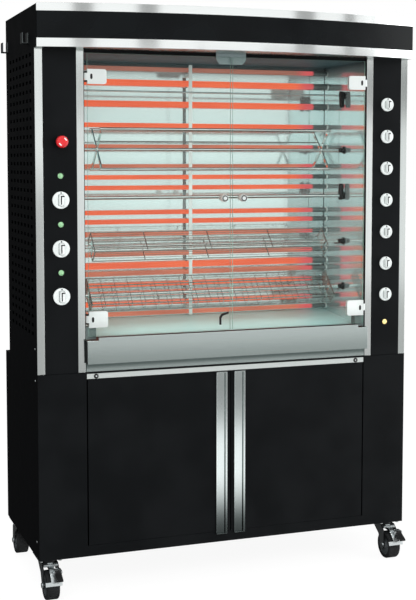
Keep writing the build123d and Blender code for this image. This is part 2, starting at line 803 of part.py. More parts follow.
right_knob_radius = 24
left_knob_radius = 28.5
knob_back = panel_face - 2
knob_front = knob_back - 8
grip_front = knob_front - 14
grip_width = 16.5
grip_reach = 0.7
dot_radius = 2
dot_proud = 0.4
dot_reach = 0.84
knob_shaft_end = 28


def control_knob(side, z, radius):
    """A round knob with a raised bar across it, an index dot by its rim and a shaft for its switch."""
    disc = along_y(radius, knob_front, knob_back, side, z)
    disc = chamfer(disc.edges().group_by(Axis.Y)[0], 2)
    grip_half = grip_reach * radius
    bar = block(side - grip_width / 2, side + grip_width / 2, grip_front, knob_front,
                z - grip_half, z + grip_half)
    bar = fillet(bar.edges().filter_by(Axis.Y), 5)
    shaft = along_y(knob_shaft, knob_back, knob_shaft_end, side, z)
    dot = along_y(dot_radius, knob_front - dot_proud, knob_front, side, z + dot_reach * radius)
    return [disc + bar + shaft, dot]


for number, z in enumerate(right_knob_heights, 1):
    save(f"right_knob_{number}", control_knob(switch_side, z, right_knob_radius))
for number, z in enumerate(left_knob_heights, 1):
    save(f"left_knob_{number}", control_knob(-switch_side, z, left_knob_radius))

stop_radius = 20
stop_travel = 6
stop_base = stop_collar_face - stop_travel - 1
stop_head = 22
mushroom = along_y(stop_radius, stop_base - stop_head, stop_base, *stop_place)
mushroom = fillet(mushroom.edges().group_by(Axis.Y)[0], 8)
mushroom += along_y(stop_bore, stop_base, switch_bore_end, *stop_place)
save("emergency_stop", [mushroom])


# Casters: the fixed plate, the swivelling fork, the wheel and, on the front ones, a brake pedal

plate_low = base_bottom - 4
plate_side = 42
plate_depth = 52
bolt_side = 33
bolt_depth = 43
bolt_flats = 6.5
bolt_high = 5
race_gap = 0.3
race_radius = 32
head_radius = 30
head_low = 122
head_high = 132
crown_low = 112
crown_front = -26
crown_back = 30
kingpin = 6
kingpin_bore = kingpin + 0.05
nut_radius = 10
nut_high = 4
leg_inner = 24.5
leg_outer = 28.5
leg_boss = 12
wheel_centre = (caster_trail, wheel_radius)
wheel_half = 22.5
tyre_round = 6
rim_radius = 37
rim_inset = 3
hub_radius = 13
axle_radius = 5.95
axle_bore = 6
axle_head = 9
axle_reach = 32
strap_inner = 55
strap_outer = 58
strap_side = 9
strap_bar = (62, 75)
shoulder_side = 24
shoulder_depth = 16
bridge_depth = (60, 66)
ear_thick = 4
pedal_hinge = (84, 104)
pedal_pin = 3
pedal_middle = -15
pedal_side = 11
pedal_hub = 6
pedal_hub_side = 9.5
ear_offset = 12
pedal_reach = 38
pedal_slope = math.radians(26)


def caster_plate():
    """A bolted plate with the upper race and the kingpin that holds the fork."""
    plate = block(-plate_side, plate_side, -plate_depth, plate_depth, plate_low, base_bottom)
    plate += along_z(race_radius, head_high + race_gap, plate_low, 0, 0)
    plate += along_z(kingpin, crown_low - race_gap, plate_low, 0, 0)
    plate += along_z(nut_radius, crown_low - race_gap - nut_high, crown_low - race_gap, 0, 0)
    bolt_places = Pos(0, 0, plate_low - bolt_high) * GridLocations(2 * bolt_side, 2 * bolt_depth, 2, 2)
    return [plate] + [extrude(head, bolt_high) for head in bolt_places * RegularPolygon(bolt_flats, 6)]


def wheel_strap():
    """The strap over a braked wheel, with its cross bar and the two ears of the pedal's pin."""
    depth, height = wheel_centre
    band = ring(strap_outer, strap_inner, (-strap_side, *wheel_centre), (strap_side, *wheel_centre))
    band &= block(-strap_side, strap_side, depth, depth + 2 * strap_outer, height + 12, height + 80)
    bar = ring(strap_outer, strap_inner, (-leg_outer, *wheel_centre), (leg_outer, *wheel_centre))
    bar &= block(-leg_outer, leg_outer, depth + 45, depth + 2 * strap_outer, *strap_bar)
    tab = block(-strap_side, strap_side, crown_back, depth, height + strap_inner, height + strap_outer)
    riser = block(-strap_side, strap_side, crown_back, crown_back + 4, height + strap_outer, head_low)
    ears = [
        block(x - ear_thick / 2, x + ear_thick / 2, bridge_depth[1], 90, 98, 110)
        for x in (pedal_middle - ear_offset, pedal_middle + ear_offset)
    ]
    bridge_end = pedal_middle - ear_offset - ear_thick / 2
    bridge = block(bridge_end, strap_side, *bridge_depth, 102, 110)
    shoulder = block(-shoulder_side, shoulder_side, crown_back, crown_back + shoulder_depth, 112, 120)
    arm = prism_x([(30, 112), (30, 120), (66, 110), (66, 102), (60, 102)], -strap_side, strap_side)
    pin = along_x(pedal_pin, bridge_end - 2, pedal_middle + ear_offset + 4, *pedal_hinge)
    return band + bar + tab + riser + arm + shoulder + bridge + ears + pin


def caster_fork(braked):
    """A swivelling fork trailing towards +Y, with its axle and, where braked, the wheel's strap."""
    outline = [
        (crown_front, crown_low), (crown_front, head_low), (crown_back, head_low), (52, crown_low - 8),
        (54, wheel_radius), (30, wheel_radius), (12, 86),
    ]
    leg = prism_x(outline, leg_inner, leg_outer) + along_x(leg_boss, leg_inner, leg_outer, *wheel_centre)
    leg -= along_x(axle_bore, leg_inner - 1, leg_outer + 1, *wheel_centre)
    fork = block(-leg_inner, leg_inner, crown_front, crown_back, crown_low, head_low)
    fork += along_z(head_radius, head_low, head_high, 0, 0) + leg + mirror(leg, about=Plane.YZ)
    fork -= along_z(kingpin_bore, crown_low - 1, head_high + 1, 0, 0)
    axle = along_x(axle_radius, -axle_reach, axle_reach, *wheel_centre)
    axle += along_x(axle_head, -axle_reach, -leg_outer, *wheel_centre)
    axle += along_x(axle_head, leg_outer, axle_reach, *wheel_centre)
    return [fork, axle, wheel_strap()] if braked else [fork, axle]


def caster_wheel():
    """A wheel with a solid tyre on a moulded rim, bored for the axle."""
    tyre = ring(wheel_radius, rim_radius, (-wheel_half, *wheel_centre), (wheel_half, *wheel_centre))
    outer_edges = tyre.edges().filter_by(GeomType.CIRCLE).group_by(SortBy.RADIUS)[-1]
    tyre = fillet(outer_edges, tyre_round)
    rim = along_x(rim_radius, rim_inset - wheel_half, wheel_half - rim_inset, *wheel_centre)
    rim += along_x(hub_radius, -wheel_half, wheel_half, *wheel_centre)
    rim -= along_x(axle_bore, -wheel_half - 1, wheel_half + 1, *wheel_centre)
    return [tyre, rim]


def brake_pedal():
    """The foot pad, hinged above the wheel and sloping down and away from it."""
    depth, height = pedal_hinge
    tip = (depth + pedal_reach, height - pedal_reach * math.tan(pedal_slope))
    root = depth + 8
    hub_left, hub_right = pedal_middle - pedal_hub_side, pedal_middle + pedal_hub_side
    pad = prism_x([(root, height), (tip[0], tip[1] + 3), (tip[0], tip[1] - 3), (root, height - 7)],
                  pedal_middle - pedal_side, pedal_middle + pedal_side)
    web = prism_x([(depth, height + 5), (root + 1, height), (root + 1, height - 7), (depth, height - 5)],
                  hub_left, hub_right)
    hub = along_x(pedal_hub, hub_left, hub_right, *pedal_hinge)
    return [pad + web + hub - along_x(pedal_pin + 0.06, hub_left - 3, hub_right + 3, *pedal_hinge)]


def placed(shapes, side, front):
    """A caster's pieces carried to a corner: front casters trail forwards, back ones backwards."""
    turn = Rot(0, 0, 180) if front else Rot(0, 0, 0)
    depth = caster_front_depth if front else caster_back_depth
    return [Pos(side * caster_side, depth, 0) * turn * shape for shape in shapes]


plates = []
for side, hand in ((-1, "left"), (1, "right")):
    for end in ("front", "back"):
        front = end == "front"
        plates += placed(caster_plate(), side, front)
        save(f"caster_fork_{end}_{hand}", placed(caster_fork(front), side, front))
        save(f"caster_wheel_{end}_{hand}", placed(caster_wheel(), side, front))
        if front:
            save(f"brake_pedal_{end}_{hand}", placed(brake_pedal(), side, front))
save("caster_plates", plates)
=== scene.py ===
import json
import math

import bmesh
import bpy
import numpy as np
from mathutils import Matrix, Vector


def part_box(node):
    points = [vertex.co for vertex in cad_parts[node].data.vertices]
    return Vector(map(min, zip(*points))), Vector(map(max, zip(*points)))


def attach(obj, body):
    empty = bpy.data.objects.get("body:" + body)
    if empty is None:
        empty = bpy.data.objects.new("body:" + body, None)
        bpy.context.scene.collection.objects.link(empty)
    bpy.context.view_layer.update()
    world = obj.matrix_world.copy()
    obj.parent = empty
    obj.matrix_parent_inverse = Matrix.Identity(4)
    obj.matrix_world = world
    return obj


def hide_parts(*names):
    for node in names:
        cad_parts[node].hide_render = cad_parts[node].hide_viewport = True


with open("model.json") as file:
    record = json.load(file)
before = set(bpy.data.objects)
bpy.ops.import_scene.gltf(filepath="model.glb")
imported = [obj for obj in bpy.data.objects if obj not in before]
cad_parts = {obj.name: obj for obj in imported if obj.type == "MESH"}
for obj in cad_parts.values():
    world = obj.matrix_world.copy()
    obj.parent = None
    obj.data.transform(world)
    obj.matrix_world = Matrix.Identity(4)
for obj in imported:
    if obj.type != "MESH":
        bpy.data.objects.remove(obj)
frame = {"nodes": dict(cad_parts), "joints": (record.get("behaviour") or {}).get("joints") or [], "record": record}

# Shapes are drawn in millimetres. X runs across the front, Z runs up from the floor, and Y is
# the depth behind the posts' front plane. A finished piece is then carried into the frame.
MM = 0.001
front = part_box("post_trims")[0].y
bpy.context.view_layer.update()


def corners(node):
    """A node's lowest and highest corners, in millimetres, with y as depth behind the posts."""
    return [(np.array(corner) - (0, front, 0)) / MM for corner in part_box(node)]


def middle(node):
    """The middle of a node's box, in millimetres."""
    low, high = corners(node)
    return (low + high) / 2


# Shapes: each one is a pair, its points and its faces

def skin(rows, loop=False):
    """Quads between rows of points that each close on themselves. With loop the last row meets
    the first; otherwise the two end rows are closed by a face."""
    count, columns = rows.shape[:2]
    index = np.arange(count * columns).reshape(count, columns)
    ends = [] if loop else [index[0, ::-1].tolist(), index[-1].tolist()]
    if loop:
        index = np.vstack([index, index[:1]])
    index = np.hstack([index, index[:, :1]])
    quads = np.stack([index[:-1, :-1], index[:-1, 1:], index[1:, 1:], index[1:, :-1]], axis=-1)
    return rows.reshape(-1, 3), quads.reshape(-1, 4).tolist() + ends


def turned(profile, centre, axis=(0, -1, 0), sides=48, loop=False):
    """A shape turned on a lathe: point = centre + along * axis + radius * (cos a * u + sin a * v)."""
    axis = np.array(axis, float) / np.linalg.norm(axis)
    u = np.cross(axis, (0, 0, 1) if abs(axis[2]) < 0.9 else (1, 0, 0))
    u /= np.linalg.norm(u)
    v = np.cross(axis, u)
    angle = np.linspace(0, 2 * np.pi, sides, endpoint=False)[None, :, None]
    along, radius = np.array(profile, float).T[:, :, None, None]
    rows = np.array(centre, float) + along * axis + radius * (np.cos(angle) * u + np.sin(angle) * v)
    return skin(rows, loop)


def swept(section, path, up):
    """A section carried along a path: point = place + side * (tangent x up) + lift * up."""
    path = np.array(path, float)
    tangent = np.gradient(path, axis=0)
    tangent /= np.linalg.norm(tangent, axis=1)[:, None]
    side = np.cross(tangent, up)
    side /= np.linalg.norm(side, axis=1)[:, None]
    lift = np.cross(side, tangent)
    section = np.array(section, float)
    return skin(path[:, None] + section[:, :1] * side[:, None] + section[:, 1:] * lift[:, None])


def rod(radius, start, end, sides=24, ease=0.0):
    """A straight round bar, its ends eased by a small quarter round."""
    start, end = np.array(start, float), np.array(end, float)
    length = np.linalg.norm(end - start)
    turn = np.linspace(0, np.pi / 2, 4)
    near = np.stack([ease * (1 - np.cos(turn)), radius - ease * (1 - np.sin(turn))], axis=1)
    far = np.stack([length - near[::-1, 0], near[::-1, 1]], axis=1)
    profile = np.vstack([near, far]) if ease else [(0, radius), (length, radius)]
    return turned(profile, start, end - start, sides)


def rounded(points, radius, steps=5):
    """A closed outline with each corner swapped for an arc. The arc starts radius * tan(turn / 2)
    before the corner, and its points are slerped about the arc's centre."""
    points = [np.array(point, float) for point in points]
    made = []
    for number, corner in enumerate(points):
        back = points[number - 1] - corner
        on = points[(number + 1) % len(points)] - corner
        back, on = back / np.linalg.norm(back), on / np.linalg.norm(on)
        opening = math.acos(np.clip(back @ on, -1, 1))
        turn = math.pi - opening
        middle_way = (back + on) / np.linalg.norm(back + on)
        centre = corner + middle_way * radius / math.sin(opening / 2)
        reach = radius / math.tan(opening / 2)
        first, last = corner + back * reach - centre, corner + on * reach - centre
        for share in np.linspace(0, 1, steps + 1):
            made.append(centre + (math.sin((1 - share) * turn) * first + math.sin(share * turn) * last)
                        / math.sin(turn))
    return np.array(made)


AXES = {"x": 0, "y": 1, "z": 2}


def prism(outline, low, high, axis):
    """A flat outline, given on the other two axes in their order, carried from low to high."""
    outline = np.array(outline, float)
    return skin(np.stack([np.insert(outline, AXES[axis], place, axis=1) for place in (low, high)]))


def slab(x0, x1, y0, y1, z0, z1):
    """A block between two corners."""
    return prism([(x0, y0), (x1, y0), (x1, y1), (x0, y1)], z0, z1, "z")


def turned_about(shape, angle, place):
    """A shape turned by an angle in degrees about the line along X through a place."""
    points, faces = shape
    c, s = math.cos(math.radians(angle)), math.sin(math.radians(angle))
    away = points - np.array(place, float)
    turned_points = away.copy()
    turned_points[:, 1] = c * away[:, 1] - s * away[:, 2]
    turned_points[:, 2] = s * away[:, 1] + c * away[:, 2]
    return turned_points + np.array(place, float), faces


def mirrored(shape):
    """A shape's image on the other side of the machine."""
    return shape[0] * (-1, 1, 1), shape[1]


def on_both_sides(shapes):
    """Shapes together with their images on the other side of the machine."""
    return list(shapes) + [mirrored(shape) for shape in shapes]


def finished(mesh, name, body, stands_for, bevel, segments, sharp):
    """Makes an object of a mesh: shaded, bevelled, and riding on its body."""
    mesh.shade_smooth()
    mesh.set_sharp_from_angle(angle=math.radians(sharp))
    piece = bpy.data.objects.new(name, mesh)
    bpy.context.scene.collection.objects.link(piece)
    if bevel:
        edge = piece.modifiers.new("rounded_edges", "BEVEL")
        edge.width = bevel * MM
        edge.segments = segments
        edge.limit_method = "ANGLE"
        edge.angle_limit = math.radians(40)
        edge.harden_normals = True
    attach(piece, body)
    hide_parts(*stands_for)


def build(name, body, shapes, stands_for, bevel=0.0, sharp=35):
    """Makes one visible piece. shapes is {finish: [shape, ...]}, in millimetres."""
    points, faces, numbers, first = [], [], [], 0
    mesh = bpy.data.meshes.new(name)
    for number, (finish, members) in enumerate(shapes.items()):
        mesh.materials.append(finish)
        for some_points, some_faces in members:
            points.append(some_points)
            faces += [[corner + first for corner in face] for face in some_faces]
            numbers += [number] * len(some_faces)
            first += len(some_points)
    mesh.from_pydata((np.vstack(points) * MM + (0, front, 0)).tolist(), [], faces)
    mesh.polygons.foreach_set("material_index", numbers)
    facing = bmesh.new()
    facing.from_mesh(mesh)
    bmesh.ops.recalc_face_normals(facing, faces=facing.faces)
    facing.to_mesh(mesh)
    facing.free()
    finished(mesh, name, body, stands_for, bevel, 2, sharp)


def body_of(node):
    """The name of the body that carries a node."""
    bodies = frame["record"]["behaviour"]["bodies"]
    return next(body for body, members in bodies.items() if node in members)


def softened(name, node, finish, bevel, segments=2, part=None):
    """Makes a piece of a node's own shape, with its loose triangles merged and its edges rounded.
    part gives the number of a face's finish from its middle and its normal."""
    mesh = frame["nodes"][node].data.copy()
    mesh.materials.clear()
    finishes = finish if isinstance(finish, (list, tuple)) else [finish]
    for one in finishes:
        mesh.materials.append(one)
    shape = bmesh.new()
    shape.from_mesh(mesh)
    bmesh.ops.remove_doubles(shape, verts=shape.verts, dist=0.00001)
    bmesh.ops.dissolve_limit(shape, angle_limit=math.radians(0.5), verts=shape.verts, edges=shape.edges)
    for face in shape.faces:
        place = (np.array(face.calc_center_median()) - (0, front, 0)) / MM
        face.material_index = int(part(place, np.array(face.normal))) if part else 0
    shape.to_mesh(mesh)
    shape.free()
    for extra in [layer.name for layer in mesh.attributes if layer.name.startswith("custom")]:
        mesh.attributes.remove(mesh.attributes[extra])
    finished(mesh, name, body_of(node), (node,), bevel, segments, 35)


# Shader maths

def tone(red, green, blue):
    """A colour as it looks, from 0 to 255, as the linear values that a shader takes."""
    linear = [c / 12.92 if c <= 0.04045 else ((c + 0.055) / 1.055) ** 2.4
              for c in (red / 255, green / 255, blue / 255)]
    return (*linear, 1.0)


class Wire:
    """A node's output. Arithmetic on it adds Math nodes, and node() adds any other kind."""

    def __init__(self, socket):
        self.socket = socket

    def node(self, kind, settings=None, inputs=None, output=0):
        """A new node in the same tree: settings first, then values or wires on its inputs."""
        tree = self.socket.id_data
        made = tree.nodes.new(kind)
        for key, value in (settings or {}).items():
            setattr(made, key, value)
        for key, value in (inputs or {}).items():
            if isinstance(value, Wire):
                tree.links.new(value.socket, made.inputs[key])
            else:
                made.inputs[key].default_value = value
        return Wire(made.outputs[output])

    def math(self, operation, other=0.0, third=0.0):
        """This wire and one or two more numbers through a Math node."""
        return self.node("ShaderNodeMath", {"operation": operation}, {0: self, 1: other, 2: third})

    def __add__(self, other):
        return self.math("ADD", other)

    __radd__ = __add__

    def __sub__(self, other):
        return self.math("SUBTRACT", other)

    def __rsub__(self, other):
        return self.math("MULTIPLY_ADD", -1.0, other)

    def __mul__(self, other):
        return self.math("MULTIPLY", other)

    __rmul__ = __mul__

    def ramp(self, low, high, to_low=0.0, to_high=1.0):
        """This wire's stretch from low to high, smoothly carried to another stretch."""
        return self.node("ShaderNodeMapRange", {"interpolation_type": "SMOOTHSTEP"}, {
            "Value": self, "From Min": low, "From Max": high, "To Min": to_low, "To Max": to_high})

    def band(self, low, high, soft):
        """1 between low and high, easing to 0 over soft on each side."""
        return self.ramp(low - soft, low) * self.ramp(high, high + soft, 1.0, 0.0)

    def between(self, low, high):
        """A colour from low to high, by this wire."""
        return self.node("ShaderNodeMix", {"data_type": "RGBA"}, {0: self, 6: low, 7: high}, 2)

    def axis(self, name):
        """One of the three numbers of a place."""
        return self.node("ShaderNodeSeparateXYZ", None, {0: self}, name)

    def noise(self, scale, stretch=(1, 1, 1), detail=2.0):
        """Noise over a place, in lumps of about one over scale, drawn out by a small stretch."""
        place = self.node("ShaderNodeMapping", None, {"Vector": self, "Scale": stretch})
        return place.node("ShaderNodeTexNoise", None, {"Vector": place, "Scale": scale, "Detail": detail})

    def bump(self, strength, distance):
        """A normal that treats this wire as a height, in metres of distance."""
        return self.node("ShaderNodeBump", None, {"Strength": strength, "Distance": distance, "Height": self})

    def principled(self, **inputs):
        """The main shader, its inputs named with underscores for spaces."""
        named = {key.replace("_", " "): value for key, value in inputs.items()}
        return self.node("ShaderNodeBsdfPrincipled", None, named)


def finish(name, surface):
    """A material: surface takes the place on the piece and returns its shader."""
    material = bpy.data.materials.new(name)
    material.use_nodes = True
    tree = material.node_tree
    tree.nodes.clear()
    place = Wire(tree.nodes.new("ShaderNodeTexCoord").outputs["Object"])
    result = tree.nodes.new("ShaderNodeOutputMaterial")
    tree.links.new(surface(place).socket, result.inputs["Surface"])
    return material


# Finishes

def powder_coat(low, high, gloss, specular=0.12):
    """Satin powder coat: a fine orange peel about a millimetre across, and cloudy gloss."""
    def surface(place):
        peel = place.noise(700, detail=3.0)
        cloud = place.noise(7).ramp(0.3, 0.7)
        return place.principled(
            Base_Color=cloud.between(low, high), Roughness=cloud * 0.08 + gloss,
            Specular_IOR_Level=specular, Normal=peel.bump(0.25, 0.0003))
    return surface


def brushed(place, grain):
    """The fine lines of brushed metal, drawn out along the grain, and the slow patches in it."""
    stretch = tuple(0.012 if axis == grain else 1.0 for axis in "xyz")
    return place.noise(900, stretch, 3.0), place.noise(5, stretch).ramp(0.3, 0.7)


def steel(low, high, rough, grain, streak=0.05, metallic=1.0, relief=0.12):
    """Brushed metal: fine lines over slow patches in the polish."""
    def surface(place):
        lines, patches = brushed(place, grain)
        return place.principled(
            Base_Color=(lines * 0.5 + patches * 0.5).between(low, high),
            Metallic=metallic, Roughness=lines * streak + rough, Normal=lines.bump(relief, 0.0002))
    return surface


def plastic(low, high, gloss, specular=0.4, peel_size=1500, coat=0.0):
    """Moulded plastic: an even colour with a faint spark-eroded grain."""
    def surface(place):
        grain = place.noise(peel_size, detail=2.0)
        patches = place.noise(30).ramp(0.3, 0.7)
        return place.principled(
            Base_Color=patches.between(low, high), Roughness=grain * 0.1 + gloss,
            Specular_IOR_Level=specular, Coat_Weight=coat, Normal=grain.bump(0.15, 0.0001))
    return surface


hot_right_end = 0.462
hot_left_end = -0.5195


def glowing(hot, cool):
    """A sheathed element: it glows along its run, pinker near the right end of its hot zone, and
    it is dark beyond it."""
    def surface(place):
        along = place.axis("X")
        to_the_right = along.ramp(hot_right_end - 0.008, hot_right_end + 0.004, 1.0, 0.0)
        lit = to_the_right * along.ramp(hot_left_end - 0.002, hot_left_end)
        mottle = place.noise(40, (0.15, 1, 1)).ramp(0.25, 0.75)
        pink = along.ramp(hot_right_end - 0.09, hot_right_end - 0.02)
        ember = pink.between(mottle.between(cool, hot), tone(206, 84, 88))
        sheath = mottle.between(tone(70, 80, 80), tone(88, 98, 97))
        return place.principled(
            Base_Color=lit.between(sheath, tone(30, 24, 22)), Roughness=0.5,
            Emission_Color=lit.between((0, 0, 0, 1), ember), Emission_Strength=1.0)
    return surface


def pane_glass(place):
    """Thin toughened glass: clear with a faint green cast, and a mirror by Fresnel."""
    shine = place.node("ShaderNodeFresnel", None, {"IOR": 1.2})
    clear = place.node("ShaderNodeBsdfTransparent", None, {"Color": (0.975, 0.993, 0.984, 1)})
    gloss = place.node("ShaderNodeBsdfGlossy", None, {"Color": (0.95, 1.0, 0.98, 1), "Roughness": 0.02})
    return place.node("ShaderNodeMixShader", None, {0: shine, 1: clear, 2: gloss})


def cavity_lining(place):
    """Mirror steel with a seam in the back sheet, and painted shade: dark in the back corners, a dark
    band along the walls' front edges, and a duller, darker grey towards the ceiling."""
    lines, patches = brushed(place, "x")
    across, depth, height = place.axis("X"), place.axis("Y"), place.axis("Z")
    polish = (lines * 0.5 + patches * 0.5).between(tone(206, 225, 225), tone(222, 237, 237))
    # Painted shade along the walls' front edges.
    painted_edge_shade = depth.ramp(front + 0.009, front + 0.012, 1.0, 0.0)
    seam = across.band(0.4563, 0.4577, 0.0004)
    at_wall = across.math("ABSOLUTE").ramp(0.5190, 0.5196)
    # Painted shade in the back corners, where the side walls meet the back sheet.
    corner = at_wall * depth.ramp(front + 0.3475, front + 0.349)
    # The seam is a dark joint; the rest of this darkening is painted shade.
    dark = painted_edge_shade + seam * 0.7 + corner * 0.8
    # Painted shade under the header: a darker, less metallic grey towards the ceiling.
    top = height.ramp(1.785, 1.842)
    polish = top.between(polish, tone(62, 84, 88))
    return place.principled(
        Base_Color=dark.between(polish, tone(8, 14, 14)), Metallic=0.8 - top * 0.7,
        Roughness=lines * 0.04 + 0.06, Normal=lines.bump(0.05, 0.0002))


def sloping_floor(place):
    """Satin steel, with a dark strip of painted shade along its front edge."""
    lines = brushed(place, "x")[0]
    colour = lines.between(tone(168, 206, 204), tone(184, 218, 216))
    # Painted shade: the gap along the front edge, painted nearly black.
    painted_edge_shade = place.axis("Y").ramp(front + 0.066, front + 0.072, 1.0, 0.0)
    return place.principled(
        Base_Color=painted_edge_shade.between(colour, tone(4, 8, 8)), Metallic=0.12,
        Roughness=lines * 0.05 + 0.42, Normal=lines.bump(0.1, 0.0002))


def drawer_front(place):
    """Brushed steel with painted shade that darkens it towards its lower fold, and a painted shadow on the pan's
    face below it.
    """
    lines = brushed(place, "x")[0]
    high = place.axis("Z")
    face = high.ramp(0.8025, 0.8035)
    # Painted shadow: the pan's face under the fold is dark at its top and lighter lower down.
    painted_pan_shadow = high.ramp(0.778, 0.799, 0.42, -0.1)
    shade = face * high.ramp(0.804, 0.890, 0.37, 0.735) + (1.0 - face) * painted_pan_shadow
    return place.principled(
        Base_Color=(shade + lines * 0.1).between(tone(104, 116, 114), tone(214, 224, 222)),
        Metallic=0.9, Roughness=lines * 0.05 + 0.22, Normal=lines.bump(0.08, 0.0002))


def pull_front(place):
    """Bright extruded aluminium, with painted reflection that darkens it to green-grey towards both ends of the
    pull, by height.
    """
    lines = brushed(place, "z")[0]
    high = place.axis("Z")
    # Painted reflection: darker towards the lower end, and a little darker towards the top end.
    painted_end_reflection = high.ramp(0.19, 0.40, 0.8, 0.0) + high.ramp(0.60, 0.74, 0.0, 0.16)
    return place.principled(
        Base_Color=(painted_end_reflection + lines * 0.08).between(tone(238, 246, 245), tone(44, 58, 58)),
        Metallic=1.0, Roughness=lines * 0.04 + 0.05, Normal=lines.bump(0.05, 0.0002))


black_coat = finish("black_powder_coat", powder_coat(tone(7, 9, 11), tone(12, 14, 16), 0.40))
# Painted shade: a darker, less shiny copy of the black coat for faces that look sideways, away from the light.
painted_side_shade_coat = finish("black_coat_painted_side_shade", powder_coat(tone(3, 4, 6), tone(6, 7, 9), 0.46, 0.08))
canopy_coat = finish("black_canopy_coat", powder_coat(tone(6, 8, 10), tone(10, 13, 15), 0.22))
post_steel = finish("post_strip_steel",
                    steel(tone(214, 220, 218), tone(246, 249, 248), 0.08, "z", 0.03, 1.0, 0.04))
trim_steel = finish("canopy_strip_steel",
                    steel(tone(236, 240, 239), tone(252, 253, 253), 0.07, "x", 0.03, 1.0, 0.04))
handle_steel = finish("handle_aluminium", pull_front)
tray_front = finish("drawer_front_steel", drawer_front)
tray_steel = finish("tray_steel", steel(tone(206, 214, 211), tone(226, 232, 230), 0.22, "x"))
strip_steel = finish("front_strip_steel",
                     steel(tone(204, 211, 209), tone(222, 227, 225), 0.30, "x", 0.05, 0.7))
wall_steel = finish("cavity_mirror_steel", cavity_lining)
floor_steel = finish("cavity_floor_steel", sloping_floor)
ceiling_grey = finish("cavity_ceiling_grey", plastic(tone(42, 76, 84), tone(52, 86, 94), 0.5, 0.2))
galvanised = finish("galvanised_outside", steel(tone(64, 68, 70), tone(84, 88, 90), 0.5, "z"))
fitting_steel = finish("fitting_steel",
                       steel(tone(224, 230, 228), tone(240, 244, 243), 0.34, "z", 0.05, 0.75))
catch_steel = finish("catch_plate_steel",
                     steel(tone(132, 146, 148), tone(152, 165, 167), 0.3, "x", 0.05, 0.75))
spit_steel = finish("spit_steel",
                    steel(tone(222, 229, 227), tone(244, 247, 246), 0.08, "x", 0.04, 1.0, 0.04))
wire_steel = finish("basket_wire_steel", steel(tone(130, 138, 134), tone(190, 197, 194), 0.14, "x"))
motor_grey = finish("motor_case_paint", plastic(tone(92, 96, 100), tone(112, 116, 120), 0.45))
bronze = finish("bearing_bronze", steel(tone(150, 110, 62), tone(186, 142, 86), 0.32, "x"))
hook_steel = finish("hook_steel", steel(tone(104, 110, 111), tone(132, 138, 139), 0.3, "z"))
zinc = finish("zinc_plate", steel(tone(196, 202, 204), tone(232, 236, 237), 0.26, "y", 0.08))
black_plastic = finish("black_plastic", plastic(tone(16, 16, 18), tone(26, 26, 28), 0.38))
lever_plastic = finish("lever_plastic", plastic(tone(10, 10, 11), tone(18, 18, 19), 0.42, 0.3))
rubber = finish("tyre_rubber", plastic(tone(20, 21, 22), tone(32, 33, 34), 0.62, 0.25, 900))
fork_black = finish("fork_black", plastic(tone(12, 13, 14), tone(22, 23, 25), 0.36, 0.3))
stop_grey = finish("stop_block_grey", plastic(tone(92, 104, 103), tone(108, 119, 117), 0.5))
knob_white = finish("knob_white", plastic(tone(214, 219, 218), tone(226, 231, 230), 0.34, 0.35))
# Painted shadow grey, for the ring round the knobs' grips.
knob_painted_shadow_grey = finish("knob_painted_shadow_grey", plastic(tone(96, 102, 102), tone(112, 118, 118), 0.5, 0.3))
stop_red = finish("stop_red", plastic(tone(192, 18, 26), tone(214, 32, 36), 0.26, 0.5, 1500, 0.4))
hot_tube = finish("hot_element", glowing((0.86, 0.145, 0.058, 1), (0.76, 0.115, 0.05, 1)))
warm_tube = finish("warm_element", glowing((0.60, 0.17, 0.10, 1), (0.44, 0.13, 0.08, 1)))
dim_tube = finish("dim_element", glowing((0.34, 0.13, 0.09, 1), (0.26, 0.10, 0.075, 1)))
rim_grey = finish("wheel_rim", plastic(tone(58, 62, 64), tone(74, 78, 80), 0.45))
door_glass = finish("door_glass", pane_glass)
glass_edge = finish("glass_edge", plastic(tone(116, 158, 146), tone(150, 186, 174), 0.12, 0.5))


def lens(low, high, glow):
    """A moulded lamp lens: glossy, ribbed inside, and faintly lit."""
    def surface(place):
        ribs = place.noise(420, (1, 0.3, 1)).ramp(0.3, 0.7)
        return place.principled(
            Base_Color=ribs.between(low, high), Roughness=0.12, Coat_Weight=0.5,
            Emission_Color=ribs.between(low, high), Emission_Strength=glow)
    return surface


green_lens = finish("green_lens", lens(tone(112, 168, 116), tone(156, 202, 156), 0.12))
amber_lens = finish("amber_lens", lens(tone(240, 205, 110), tone(252, 236, 170), 0.35))


# Camera and light

def add_camera():
    """The photograph's camera, fitted to the object's straight edges."""
    camera = bpy.data.objects.new("camera", bpy.data.cameras.new("camera"))
    camera.data.lens = 72.22
    camera.data.shift_x = 0.0019
    camera.data.shift_y = -0.0813
    camera.location = (-1.4981, -4.1516, 1.4820)
    camera.rotation_euler = (math.radians(90 - 4.254), 0, math.radians(-19.79))
    bpy.context.scene.collection.objects.link(camera)
    bpy.context.scene.camera = camera


def add_lamp(name, size, power, place, aim, colour=(1, 1, 1)):
    """A soft rectangular lamp at a place, turned to face its aim."""
    lamp = bpy.data.objects.new(name, bpy.data.lights.new(name, "AREA"))
    lamp.data.shape = "RECTANGLE"
    lamp.data.size, lamp.data.size_y = size
    lamp.data.energy = power
    lamp.data.color = colour
    lamp.location = place
    way = Vector(aim) - Vector(place)
    lamp.rotation_euler = way.to_track_quat("-Z", "Y").to_euler()
    lamp.visible_camera = False
    lamp.visible_glossy = False
    bpy.context.scene.collection.objects.link(lamp)


